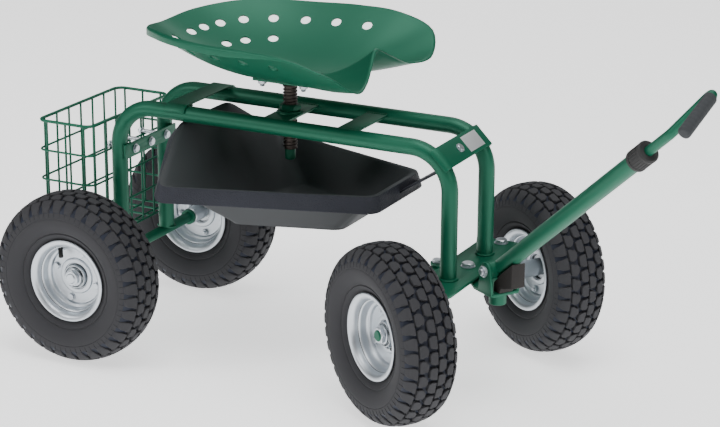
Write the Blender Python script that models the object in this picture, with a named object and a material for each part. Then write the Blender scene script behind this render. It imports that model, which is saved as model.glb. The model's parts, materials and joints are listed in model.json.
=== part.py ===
"""A rolling garden work seat: two bent tubes on four pneumatic tyres, with a swivelling
tractor seat on a screw post, a hanging tool tray, a wire basket behind the rear legs and
a telescopic pulling handle that steers the front wheels.

Units are metres. While the parts are built, X runs forward from the rear axle, Y to the
left and Z up from the ground. At the end the whole cart is shifted so that the origin
lies at the bottom centre of its bounding box.
"""

from math import atan2, cos, degrees, pi, radians, sin, tan

import bmesh
import bpy
from mathutils import Matrix, Vector

# ---------------------------------------------------------------- driving dimensions
GAP = 0.0003  # between solids that touch on the real cart
RUN = 0.0005  # radial clearance of a turning or sliding fit

WHEELBASE = 0.552
REAR_TRACK = 0.356  # between the middles of the rear tyres
KINGPIN_TRACK = 0.239
KINGPIN_OFFSET = 0.070  # from a kingpin to the middle of its wheel
STEER_ANGLE = radians(-32.5)  # how far the front wheels stand turned, to the right

TYRE_RADIUS = 0.129
TYRE_WIDTH = 0.086
TYRE_WALL = 0.006
BEAD_RADIUS = 0.0512  # seat of the tyre on the rim
FLANGE_RADIUS = 0.0622
RIM_WIDTH = 0.060  # over both flanges
RIM_SHEET = 0.0022
HUB_RADIUS = 0.0130
HUB_INNER = 0.036  # from the wheel's middle plane to the hub's end towards the cart
HUB_OUTER = 0.010
AXLE_RADIUS = 0.0080
AXLE_SHOULDER = 0.0040  # the axle is thicker by this beside each hub
AXLE_END = 0.0105  # axle beyond the hub, with its nut
AXLE_NUT_HEIGHT = 0.0080
AXLE_NUT_RADIUS = 0.0125
VALVE_RADIUS = 0.0042
VALVE_Y = 0.0082  # from the wheel's middle plane
WHEEL_STANDS = {  # how far each wheel has rolled, from the valve standing straight up
    "rear_right": radians(27),
    "rear_left": radians(150),
    "front_right": radians(-100),
    "front_left": radians(40),
}

TUBE_RADIUS = 0.0120
TUBE_WALL = 0.0016
TUBE_SPACING = 0.1274  # between the two bent tubes, centre to centre
TUBE_TOP = 0.365  # centreline height of the long straight run
BEND_RADIUS = 0.060
REAR_LEG_X = 0.005
FRONT_LEG_X = WHEELBASE - 0.002  # the front legs stand beside the kingpins

FRONT_PLATE_TOP = 0.178
FRONT_PLATE_SHEET = 0.0045
FRONT_PLATE_DEPTH = 0.062
FRONT_PLATE_END = 0.014  # plate beyond each kingpin
FRONT_PLATE_LEAD = 0.029  # front edge, ahead of the kingpins

ARM_SHEET = 0.0045
ARM_TOP = 0.1685
ARM_WIDTH = 0.048
TIE_RADIUS = 0.062  # from the steering axis back to the tie rod pins
TIE_HALF_GAP = 0.013  # the two inner pins lie this far from the middle
TIE_WIDTH = 0.014
TIE_SHEET = 0.0035
ARM_WAIST = 0.032
ARM_BOSS_RADIUS = 0.0180  # round the steering pivot, between the arm and the plate
ARM_STUB_LOW = 0.1470  # lower end of the sleeve under the handle's ears
SLEEVE_RADIUS = 0.0125

HANDLE_REACH = 0.079  # from the steering axis to the handle's pivot
HANDLE_PIVOT_Z = 0.199
HANDLE_ELEVATION = radians(38.2)
HANDLE_TUBE_END = 0.398
HANDLE_TUBE_WALL = 0.0018
EAR_SHEET = 0.0040
PIVOT_SLEEVE_LENGTH = 0.0390
COLLAR_RADIUS = 0.0155
COLLAR_LENGTH = 0.032
ROD_RADIUS = 0.0067
ROD_INSERTION = 0.250  # rod inside the tube when the handle is pushed in
ROD_BEND_AT = 0.464
GRIP_AT = 0.535
GRIP_HALF = 0.045
GRIP_RADIUS = 0.0085
GRIP_LENGTH = 0.072
GRIP_TWIST = radians(33.9)

SEAT_X = 0.2620
SEAT_PLATE_TOP = 0.3705
CROSS_SHEET = 0.0030
SCREW_RADIUS = 0.0108
SCREW_TOP = 0.4150
SCREW_BOTTOM = 0.3150
SCREW_CAP_HEIGHT = 0.0160
SEAT_NUT_RADIUS = 0.0165
SEAT_NUT_FLANGE = 0.0190
SEAT_NUT_HEIGHT = 0.0120
SEAT_BASE = 0.4240  # underside of the pan above the post
SEAT_SHEET = 0.0025
SEAT_LIP = 0.0120  # the rolled edge's drop round the back and the sides

TRAY_RIM = 0.2860
TRAY_FLOOR = 0.2220
TRAY_SHEET = 0.0030
TRAY_SKIRT = 0.0240
TRAY_REAR_X = 0.1380  # outer corners of the rim
TRAY_FRONT_X = 0.4400
TRAY_REAR_HALF = 0.1750
TRAY_FRONT_HALF = 0.0760
TRAY_RIM_WIDTH = 0.0080
TRAY_TOP_X = 0.1135
TRAY_TOP_HALF = 0.0735
TRAY_BOLT_Y = -0.018

BASKET_FRONT = -0.0190
BASKET_DEPTH = 0.099
BASKET_LENGTH = 0.227
BASKET_TOP = 0.336
BASKET_PITCH = 0.048
BASKET_RINGS = 4
BASKET_SHIFT = 0.010  # the basket hangs this far to the left of the middle
BASKET_WIRE = 0.0035
BRACKET_BAR_Z = 0.293
BRACKET_BAR_WIDTH = 0.022

# ---------------------------------------------------------------- places that follow
AXLE_Z = TYRE_RADIUS
KINGPIN_Y = KINGPIN_TRACK / 2
TUBE_Y = TUBE_SPACING / 2
ARM_LOW = ARM_TOP - ARM_SHEET
FRONT_PLATE_LOW = FRONT_PLATE_TOP - FRONT_PLATE_SHEET
BOLT_RADIUS = 0.0055
BOLT_HEAD = 0.0095
BOLT_HEAD_HEIGHT = 0.0060
HEX_FLAT = cos(pi / 6)
STRAP_SHEET = 0.0024
SMALL_BOLT = 0.0030
SMALL_HEAD = 0.0062
BASKET_BOLTS = (("basket_bolt_right", -0.044), ("basket_bolt_middle", 0.0), ("basket_bolt_left", 0.044))
TIE_PIN_RADIUS = 0.0040
HANDLE_PIN_RADIUS = 0.0050
KNUCKLE_LOW = AXLE_Z - 0.022
TIE_TOP = ARM_LOW - RUN
TIE_LOW = TIE_TOP - TIE_SHEET
ARM_NOSE = HANDLE_REACH + 0.018


# ---------------------------------------------------------------- materials
def paint(name, colour, roughness, metallic=0.0):
    material = bpy.data.materials.new(name)
    material.use_nodes = True
    shader = material.node_tree.nodes["Principled BSDF"]
    shader.inputs["Base Color"].default_value = (*colour, 1.0)
    shader.inputs["Roughness"].default_value = roughness
    shader.inputs["Metallic"].default_value = metallic
    material.diffuse_color = (*colour, 1.0)
    return material


# ---------------------------------------------------------------- building blocks
def finish(name, mesh, material, parent=None, at=(0, 0, 0)):
    """Closes the mesh off as an object of its own, placed under its parent."""
    bmesh.ops.remove_doubles(mesh, verts=mesh.verts, dist=1e-6)
    bmesh.ops.recalc_face_normals(mesh, faces=mesh.faces)
    data = bpy.data.meshes.new(name)
    mesh.to_mesh(data)
    mesh.free()
    data.shade_smooth()
    data.set_sharp_from_angle(angle=radians(35))
    obj = bpy.data.objects.new(name, data)
    bpy.context.scene.collection.objects.link(obj)
    if material:
        data.materials.append(material)
    obj.parent = parent
    obj.location = at
    return obj


def pivot(name, at, parent=None, turn=(0, 0, 0)):
    """An empty on a joint's axis, or at a group's reference point."""
    empty = bpy.data.objects.new(name, None)
    empty.empty_display_size = 0.03
    bpy.context.scene.collection.objects.link(empty)
    empty.parent = parent
    empty.location = at
    empty.rotation_euler = turn
    return empty


def skin(rings, closed, mesh=None):
    """Joins rings of equally many points; the ends are capped, or the last ring meets the first."""
    mesh = mesh or bmesh.new()
    rows = [[mesh.verts.new(point) for point in ring] for ring in rings]
    sides = len(rows[0])
    following = rows[1:] + rows[:1] if closed else rows[1:]
    for row, after in zip(rows, following):
        for i in range(sides):
            j = (i + 1) % sides
            mesh.faces.new((row[i], row[j], after[j], after[i]))
    if not closed:
        mesh.faces.new(rows[0])
        mesh.faces.new(rows[-1])
    return mesh


def turned(profile, sides=24, closed=True, axis="Z", centre=(0, 0, 0)):
    """Turns (radius, height) points round an axis. A third value of 6 makes that ring hexagonal."""
    rings = []
    for radius, height, *corners in profile:
        ring = []
        for i in range(sides):
            r = radius * HEX_FLAT if corners and i % 2 else radius
            angle = 2 * pi * i / sides
            ring.append((r * cos(angle), r * sin(angle), height))
        rings.append(ring)
    mesh = skin(rings, closed)
    turn = {"Z": Matrix(), "Y": Matrix.Rotation(-pi / 2, 4, "X"), "X": Matrix.Rotation(pi / 2, 4, "Y")}
    bmesh.ops.transform(mesh, matrix=Matrix.Translation(centre) @ turn[axis], verts=mesh.verts)
    return mesh


def ring_solid(radius, bore, low, high, sides=24, axis="Z", centre=(0, 0, 0)):
    profile = [(radius, low), (radius, high), (bore, high), (bore, low)]
    return turned(profile, sides, True, axis, centre)


def rod_solid(radius, low, high, sides=16, axis="Z", centre=(0, 0, 0)):
    return turned([(radius, low), (radius, high)], sides, False, axis, centre)


def bolt(shank, head, low, high, head_height=BOLT_HEAD_HEIGHT, nut=True, axis="Z", centre=(0, 0, 0)):
    """A hexagon bolt whose head sits on high and whose nut, or plain end, closes at low."""
    profile = [(head, high + head_height, 6), (head, high, 6), (shank, high)]
    if nut:
        profile += [(shank, low), (head, low, 6), (head, low - head_height, 6)]
        profile += [(shank, low - head_height), (shank, low - head_height - 0.003)]
    else:
        profile += [(shank, low)]
    return turned(profile, 12, False, axis, centre)


def prism(outline, low, high):
    """A flat plate: an outline in X and Y between two heights."""
    return skin([[(x, y, z) for x, y in outline] for z in (low, high)], False)


def box(low, high):
    (x0, y0, z0), (x1, y1, z1) = low, high
    return prism([(x0, y0), (x1, y0), (x1, y1), (x0, y1)], z0, z1)


def arc(centre, radius, start, end, steps):
    """Points of a round corner, from one angle to another."""
    angles = [start + (end - start) * i / steps for i in range(steps + 1)]
    return [(centre[0] + radius * cos(a), centre[1] + radius * sin(a)) for a in angles]


def circles(path, radius, sides):
    """Rings square to a path, turned as little as possible from one to the next."""
    path = [Vector(point) for point in path]
    tangents = []
    for i in range(len(path)):
        ahead = path[min(i + 1, len(path) - 1)] - path[max(i - 1, 0)]
        tangents.append(ahead.normalized())
    side = tangents[0].orthogonal().normalized()
    rings = []
    for point, tangent in zip(path, tangents):
        side = (side - tangent * side.dot(tangent)).normalized()
        up = tangent.cross(side)
        angles = [2 * pi * i / sides for i in range(sides)]
        rings.append([point + radius * (side * cos(a) + up * sin(a)) for a in angles])
    return rings


def tube_along(path, radius, bore=0.0, sides=12):
    """A round bar along a path or, with a bore, a tube that is open at both ends."""
    rings = circles(path, radius, sides)
    if bore:
        rings += reversed(circles(path, bore, sides))
    return skin(rings, bool(bore))


def boolean(obj, meshes, operation):
    """Cuts or joins meshes in the object's own frame, through objects that don't render."""
    for i, mesh in enumerate(meshes):
        tool = finish(f"{obj.name}_{operation.lower()}_{i}", mesh, None, obj)
        tool.hide_render = True
        tool.display_type = "WIRE"
        modifier = obj.modifiers.new(tool.name, "BOOLEAN")
        modifier.operation = operation
        modifier.solver = "EXACT"
        modifier.object = tool
    return obj


def cut(obj, *meshes):
    return boolean(obj, meshes, "DIFFERENCE")


def join(obj, *meshes):
    return boolean(obj, meshes, "UNION")


# ---------------------------------------------------------------- frame
def bent_tube_path():
    """One side of the frame: up the rear leg, along the top and down the front leg."""
    foot = AXLE_Z + AXLE_RADIUS + GAP
    bend_z = TUBE_TOP - BEND_RADIUS
    rear = arc((REAR_LEG_X + BEND_RADIUS, bend_z), BEND_RADIUS, pi, pi / 2, 6)
    front = arc((FRONT_LEG_X - BEND_RADIUS, bend_z), BEND_RADIUS, pi / 2, 0, 6)
    return [(REAR_LEG_X, foot)] + rear + front + [(FRONT_LEG_X, FRONT_PLATE_TOP + GAP)]


def add_frame(cart, green, zinc):
    for side, name in ((-1, "frame_tube_right"), (1, "frame_tube_left")):
        path = [(x, side * TUBE_Y, z) for x, z in bent_tube_path()]
        finish(name, tube_along(path, TUBE_RADIUS, TUBE_RADIUS - TUBE_WALL), green, cart)

    half = REAR_TRACK / 2 + HUB_OUTER + AXLE_END
    shoulder = REAR_TRACK / 2 - HUB_INNER - RUN
    thick = AXLE_RADIUS + AXLE_SHOULDER
    width = 0.006
    profile = [(AXLE_RADIUS, -half), (AXLE_RADIUS, -shoulder), (thick, -shoulder)]
    profile += [(thick, width - shoulder), (AXLE_RADIUS, width - shoulder)]
    profile += [(radius, -height) for radius, height in reversed(profile)]
    finish("rear_axle", turned(profile, 16, False, "Y"), green, cart, (0, 0, AXLE_Z))

    inner = TUBE_Y - TUBE_RADIUS - GAP
    low = SEAT_PLATE_TOP - CROSS_SHEET
    plate = box((-0.020, -inner, low), (0.020, inner, SEAT_PLATE_TOP))
    seat_plate = finish("seat_cross_plate", plate, green, cart, (SEAT_X, 0, 0))
    cut(seat_plate, rod_solid(SCREW_RADIUS + 2 * RUN, low - 0.01, SEAT_PLATE_TOP + 0.01, 24))
    plate = box((0.362, -inner, low), (0.395, inner, SEAT_PLATE_TOP))
    finish("front_cross_plate", plate, green, cart)

    strap = strap_solid(STRAP_SHEET, radians(75), 0.034)
    finish("rear_cross_strap", strap, green, cart, (0.110, 0, TUBE_TOP))
    add_clip_plate(cart, green, zinc)
    add_basket_bar(cart, green, zinc)


def strap_solid(sheet, hook_angle, width):
    """A strap over both tubes, along Y, whose ends hook down over them."""
    inner = TUBE_RADIUS + GAP
    under = arc((TUBE_Y, 0.0), inner, pi / 2, pi / 2 - hook_angle, 5)
    over = arc((TUBE_Y, 0.0), inner + sheet, pi / 2 - hook_angle, pi / 2, 5)
    outline = [(-across, up) for across, up in reversed(under)] + under + over
    outline += [(-across, up) for across, up in reversed(over)]
    return skin([[(x, across, up) for across, up in outline] for x in (-width / 2, width / 2)], False)


def front_bend_place():
    """The middle of the front bends' centrelines, where the tubes run down at 45 degrees."""
    middle = BEND_RADIUS * sin(pi / 4)
    return Vector((FRONT_LEG_X - BEND_RADIUS + middle, 0, TUBE_TOP - BEND_RADIUS + middle))


def on_front_bend(along, out):
    """X and Z of a point measured down the bend's slope and square out from it."""
    point = front_bend_place() + Matrix.Rotation(pi / 4, 3, "Y") @ Vector((along, 0, out))
    return point.x, point.z


CLIP_RISE = 0.0006  # of the clip plate over the bends
TONGUE_TOP = TUBE_RADIUS + CLIP_RISE  # the tray's tongue lies against the plate's underside


def add_clip_plate(cart, green, zinc):
    """The strap across both front bends, and the bolt through it and the tray's tongue."""
    frame = pivot("front_bend", front_bend_place(), cart, (0, pi / 4, 0))
    strap = strap_solid(STRAP_SHEET, radians(70), 0.036)
    clip = finish("front_clip_plate", strap, green, frame, (0, 0, CLIP_RISE))
    cut(clip, rod_solid(SMALL_BOLT + GAP, -0.01, 0.04, 16, "Z", (0, TRAY_BOLT_Y, 0)))
    top = TONGUE_TOP + GAP + STRAP_SHEET + GAP
    low = TONGUE_TOP - TRAY_SHEET - GAP
    screw = bolt(SMALL_BOLT, SMALL_HEAD, low, top, 0.0035, True, "Z", (0, TRAY_BOLT_Y, 0))
    finish("tray_front_bolt", screw, zinc, frame)


def add_basket_bar(cart, green, zinc):
    """The flat bar across the front of the rear legs, and the bolts that hold the basket to it."""
    front = REAR_LEG_X + TUBE_RADIUS + GAP
    half = TUBE_Y + TUBE_RADIUS * 0.7
    low = BRACKET_BAR_Z - BRACKET_BAR_WIDTH / 2
    high = BRACKET_BAR_Z + BRACKET_BAR_WIDTH / 2
    sheet = 0.003
    bar = box((front, -half, low), (front + sheet, half, high))
    bar = finish("rear_bracket_bar", bar, green, cart)
    back = BASKET_FRONT - BASKET_WIRE - GAP
    for name, y in BASKET_BOLTS:
        place = (0, y, BRACKET_BAR_Z)
        cut(bar, rod_solid(SMALL_BOLT + GAP, front - 0.02, front + 0.02, 12, "X", place))
        screw = bolt(SMALL_BOLT, SMALL_HEAD, back, front + sheet + GAP, 0.0040, True, "X", place)
        finish(name, screw, zinc, cart)


# ---------------------------------------------------------------- basket
def add_basket(cart, green):
    """A thin-walled open box with the wire basket's outer shape."""
    x1 = BASKET_FRONT
    x0 = x1 - BASKET_DEPTH
    y0 = BASKET_SHIFT - BASKET_LENGTH / 2
    y1 = BASKET_SHIFT + BASKET_LENGTH / 2
    low = BASKET_TOP - BASKET_RINGS * BASKET_PITCH
    wall = BASKET_WIRE

    def rectangle(inset, z):
        a, b, c, d = x0 + inset, x1 - inset, y0 + inset, y1 - inset
        return [(a, c, z), (b, c, z), (b, d, z), (a, d, z)]

    rings = [rectangle(0, low), rectangle(0, BASKET_TOP)]
    rings += [rectangle(wall, BASKET_TOP), rectangle(wall, low + wall)]
    basket = finish("wire_basket", skin(rings, False), green, cart)
    for _, y in BASKET_BOLTS:
        place = (0, y, BRACKET_BAR_Z)
        cut(basket, rod_solid(SMALL_BOLT + GAP, x1 - 0.02, x1 + 0.02, 12, "X", place))


# ---------------------------------------------------------------- tool tray
def tray_loop(points):
    """Mirrors the three right-hand corners (front, rear, rear top) into a closed loop of six."""
    right = [Vector((x, -y, z)) for x, y, z in points]
    left = [Vector((x, y, z)) for x, y, z in points]
    return right + left[::-1]


def add_tray(cart, plastic):
    """A shallow tub, wide at the rear, whose rear wall runs up to a top edge under the tubes."""
    top = TUBE_TOP - TUBE_RADIUS - GAP - 0.001
    sheet = TRAY_SHEET
    inset = TRAY_RIM_WIDTH

    def moved(points, dx, dy, dz):
        """Moves the front corner forward and both rear corners backward by dx, outward by dy, up by dz."""
        signs = (1, -1, -1)
        return [(x + s * dx, y + dy, z + dz) for s, (x, y, z) in zip(signs, points)]

    front = (TRAY_FRONT_X, TRAY_FRONT_HALF, TRAY_RIM)
    rear = (TRAY_REAR_X, TRAY_REAR_HALF, TRAY_RIM)
    outer_rim = [front, rear, (TRAY_TOP_X, TRAY_TOP_HALF, top)]
    inner_rim = moved(outer_rim, -inset, -0.8 * inset, 0.0)
    skirt_low = moved(outer_rim, 0.004, 0.006, -TRAY_SKIRT)
    skirt_low[2] = (TRAY_TOP_X - 0.012, TRAY_TOP_HALF + 0.005, top - 0.018)
    floor = [(0.377, 0.058, TRAY_FLOOR), (0.222, 0.105, TRAY_FLOOR), (0.212, 0.045, TRAY_FLOOR)]
    loops = [
        moved(floor, 0.0, 0.0, sheet),
        inner_rim,
        outer_rim,
        skirt_low,
        moved(skirt_low, -sheet, -sheet, 0.0),
        moved(outer_rim, -sheet, -sheet, -sheet),
        moved(inner_rim, 0.6 * sheet, 0.6 * sheet, -sheet),
        moved(floor, 0.3 * sheet, 0.3 * sheet, 0.0),
    ]
    tray = finish("tool_tray", skin([tray_loop(loop) for loop in loops], False), plastic, cart)
    join(tray, tongue_solid())
    hole = rod_solid(SMALL_BOLT + GAP, -0.03, 0.03, 12, "Z", (0, TRAY_BOLT_Y, 0))
    turn = Matrix.Translation(front_bend_place()) @ Matrix.Rotation(pi / 4, 4, "Y")
    bmesh.ops.transform(hole, matrix=turn, verts=hole.verts)
    cut(tray, hole)


def tongue_solid():
    """The strip from the tray's front skirt up to the underside of the clip plate."""
    sheet = TRAY_SHEET
    lean = 0.6 * sheet  # of the thickness, on the slope between the skirt and the plate
    knee = on_front_bend(0.016, TONGUE_TOP)
    knee_inside = on_front_bend(0.013, TONGUE_TOP - sheet)
    end = on_front_bend(-0.012, TONGUE_TOP)
    end_inside = on_front_bend(-0.012, TONGUE_TOP - sheet)
    start = (TRAY_FRONT_X - 0.006, TRAY_RIM - 0.020)
    before = (knee[0] - 0.032, knee[1] - 0.021)
    stations = [  # point on the outer face, point on the inner face, right edge, left edge
        (start, (start[0] - lean, start[1] + sheet), 0.004, 0.062),
        (before, (before[0] - lean, before[1] + sheet), -0.040, 0.048),
        (knee, knee_inside, -0.045, 0.048),
        (end, end_inside, -0.045, 0.048),
    ]
    rings = []
    for (x0, z0), (x1, z1), right, left in stations:
        rings.append([(x0, right, z0), (x0, left, z0), (x1, left, z1), (x1, right, z1)])
    return skin(rings, False)


# ---------------------------------------------------------------- wheels
def rim_half_profile(outer):
    """One pressed half of a split rim, as (radius, distance from the wheel's middle plane)."""
    half = RIM_WIDTH / 2
    sheet = RIM_SHEET
    tyre_side = [
        (FLANGE_RADIUS, half),
        (BEAD_RADIUS + 0.002, half - sheet - 0.001),
        (BEAD_RADIUS, half - sheet - 0.004),
        (BEAD_RADIUS - 0.0012, GAP / 2),
    ]
    if outer:
        bore = HUB_RADIUS + RUN
        inside = [(bore, GAP / 2), (bore, sheet)]
    else:
        bore = AXLE_RADIUS + RUN
        inside = [(HUB_RADIUS, GAP / 2), (HUB_RADIUS, -HUB_OUTER), (bore, -HUB_OUTER)]
        inside += [(bore, HUB_INNER), (HUB_RADIUS, HUB_INNER), (HUB_RADIUS, sheet)]
    air_side = [
        (BEAD_RADIUS - 0.0050, sheet),
        (BEAD_RADIUS - 0.0025, half - sheet - 0.003),
        (BEAD_RADIUS + 0.001, half - 0.0005),
        (FLANGE_RADIUS, half + 0.0015),
    ]
    return tyre_side + inside + air_side


def tyre_profile():
    """The carcass as an open C: outside from one bead over the crown to the other, then back inside."""
    half = TYRE_WIDTH / 2
    bead_y = RIM_WIDTH / 2 - RIM_SHEET - 0.0048
    toe = BEAD_RADIUS + 0.0005
    middle = (BEAD_RADIUS + TYRE_RADIUS) / 2
    outside = [
        (toe, bead_y),
        (FLANGE_RADIUS - 0.004, bead_y + 0.0012),
        (FLANGE_RADIUS + 0.0035, bead_y + 0.0050),
        (middle + 0.004, half),
        (TYRE_RADIUS - 0.0165, half - 0.0015),
        (TYRE_RADIUS - 0.0085, half - 0.0080),
        (TYRE_RADIUS - 0.0025, half - 0.0215),
        (TYRE_RADIUS, half - 0.0350),
    ]
    wall = TYRE_WALL
    inside = [
        (TYRE_RADIUS - 2 * wall, half - 0.0280),
        (middle + 0.006, half - 1.3 * wall),
        (FLANGE_RADIUS + 0.003, bead_y - 0.0010),
        (toe, bead_y - wall),
    ]
    left = [(radius, -y) for radius, y in reversed(outside)]
    back = [(radius, -y) for radius, y in reversed(inside)]
    return outside + left + back + inside


def add_wheel(place, parent, at, outward, materials):
    """A pneumatic wheel round its own Y axis, whose outer face looks along outward times Y.

    Its nut and its split rim turn with it to the angle at which the wheel stands."""
    rubber, zinc, black = materials
    facing = (0, -WHEEL_STANDS[place], 0) if outward > 0 else (0, WHEEL_STANDS[place], pi)
    hub = pivot(f"wheel_{place}", at, parent, facing)
    finish(f"tyre_{place}", turned(tyre_profile(), 24, True, "Y"), rubber, hub)
    outer = turned(rim_half_profile(True), 20, True, "Y")
    outer = finish(f"rim_outer_{place}", outer, zinc, hub)
    inner_profile = [(radius, -y) for radius, y in rim_half_profile(False)]
    finish(f"rim_inner_{place}", turned(inner_profile, 20, True, "Y"), zinc, hub)
    cut(outer, rod_solid(VALVE_RADIUS + RUN, 0.035, 0.060, 12, "Z", (0, VALVE_Y, 0)))
    foot = VALVE_RADIUS + 0.002
    tip = 0.8 * VALVE_RADIUS
    stem = [(foot, 0.0555), (foot, 0.0530), (VALVE_RADIUS, 0.0530), (VALVE_RADIUS, 0.0330)]
    stem += [(tip, 0.0325), (tip, 0.0220)]
    stem = turned(stem, 10, False, "Z", (0, VALVE_Y, 0))
    finish(f"valve_stem_{place}", stem, black, hub)
    start = HUB_OUTER + RUN
    end = start + AXLE_NUT_HEIGHT
    across = AXLE_NUT_RADIUS
    bore = AXLE_RADIUS + GAP
    washer = across + 0.0012
    nut = [(washer, start), (washer, start + 0.002), (across, start + 0.002, 6), (across, end, 6)]
    nut += [(bore, end), (bore, start)]
    finish(f"axle_nut_{place}", turned(nut, 12, True, "Y"), zinc, hub)


# ---------------------------------------------------------------- front axle and steering
def rounded_bar(points, radius, steps=5):
    """The outline of a flat bar between two eyes, given as two centres in X and Y."""
    (x0, y0), (x1, y1) = points
    along = atan2(y1 - y0, x1 - x0)
    first = arc((x0, y0), radius, along + pi / 2, along + 3 * pi / 2, steps)
    last = arc((x1, y1), radius, along - pi / 2, along + pi / 2, steps)
    return first + last


def add_front_plate(cart, green, zinc):
    front = FRONT_PLATE_LEAD
    rear = front - FRONT_PLATE_DEPTH
    end = KINGPIN_Y + FRONT_PLATE_END
    corner = 0.012
    outline = arc((front - corner, end - corner), corner, 0, pi / 2, 3)
    outline += arc((rear + corner, end - corner), corner, pi / 2, pi, 3)
    outline += [(x, -y) for x, y in reversed(outline)]
    plate = prism(outline, FRONT_PLATE_LOW, FRONT_PLATE_TOP)
    plate = finish("front_axle_plate", plate, green, cart, (WHEELBASE, 0, 0))
    low, high = FRONT_PLATE_LOW - 0.01, FRONT_PLATE_TOP + 0.01
    for y in (-KINGPIN_Y, 0, KINGPIN_Y):
        cut(plate, rod_solid(BOLT_RADIUS + RUN, low, high, 16, "Z", (0, y, 0)))
    head = FRONT_PLATE_TOP + GAP
    play = 0.0015
    middle = bolt(BOLT_RADIUS, BOLT_HEAD, ARM_LOW - play, head)
    finish("steering_pivot_bolt", middle, zinc, cart, (WHEELBASE, 0, 0))
    for y, name in ((-KINGPIN_Y, "kingpin_right"), (KINGPIN_Y, "kingpin_left")):
        pin = bolt(BOLT_RADIUS, BOLT_HEAD, KNUCKLE_LOW - play, head)
        finish(name, pin, zinc, cart, (WHEELBASE, y, 0))


def tie_pin(side):
    """A tie rod's pin behind its pivot, before the steering is turned."""
    return (-TIE_RADIUS, side * TIE_HALF_GAP)


def add_tie_bolt(name, side, parent, zinc):
    x, y = tie_pin(side)
    pin = bolt(TIE_PIN_RADIUS, 0.0070, TIE_LOW - GAP, ARM_TOP + GAP, 0.0045)
    finish(name, pin, zinc, parent, (x, y, 0))


def add_knuckle(side, name, cart, green, zinc):
    """A sleeve on the kingpin with the wheel's stub axle and the arm back to the tie rod."""
    place = (WHEELBASE, side * KINGPIN_Y, 0)
    knuckle = pivot(f"knuckle_{name}_axis", place, cart, (0, 0, STEER_ANGLE))
    sleeve = rod_solid(SLEEVE_RADIUS, KNUCKLE_LOW, FRONT_PLATE_LOW - RUN, 20)
    body = finish(f"knuckle_{name}", sleeve, green, knuckle)
    start = 0.004 * side
    shoulder = KINGPIN_OFFSET - HUB_INNER - RUN
    reach = KINGPIN_OFFSET + HUB_OUTER + AXLE_END
    for radius, end in ((AXLE_RADIUS + AXLE_SHOULDER, shoulder), (AXLE_RADIUS, reach)):
        low, high = sorted((start, end * side))
        join(body, rod_solid(radius, low, high, 16, "Y", (0, 0, AXLE_Z)))
    join(body, prism(rounded_bar([(0.0, 0.0), tie_pin(side)], 0.0095), ARM_LOW, ARM_TOP))
    cut(body, rod_solid(BOLT_RADIUS + RUN, KNUCKLE_LOW - 0.01, FRONT_PLATE_LOW + 0.01, 16))
    x, y = tie_pin(side)
    cut(body, rod_solid(TIE_PIN_RADIUS + RUN, ARM_LOW - 0.01, ARM_TOP + 0.01, 12, "Z", (x, y, 0)))
    add_tie_bolt(f"tie_rod_outer_bolt_{name}", side, knuckle, zinc)
    return knuckle


def add_tie_rod(side, name, cart, green):
    """A flat link from the steering arm to the knuckle's arm, which keeps its own direction as they turn."""
    x, y = tie_pin(side)
    turned_x = x * cos(STEER_ANGLE) - y * sin(STEER_ANGLE)
    turned_y = x * sin(STEER_ANGLE) + y * cos(STEER_ANGLE)
    link = pivot(f"tie_rod_{name}_axis", (WHEELBASE + turned_x, turned_y, 0), cart)
    ends = [(0, 0), (0, side * KINGPIN_Y)]
    rod = finish(f"tie_rod_{name}", prism(rounded_bar(ends, TIE_WIDTH / 2), TIE_LOW, TIE_TOP), green, link)
    for x, y in ends:
        cut(rod, rod_solid(TIE_PIN_RADIUS + RUN, TIE_LOW - 0.01, TIE_TOP + 0.01, 12, "Z", (x, y, 0)))


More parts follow.
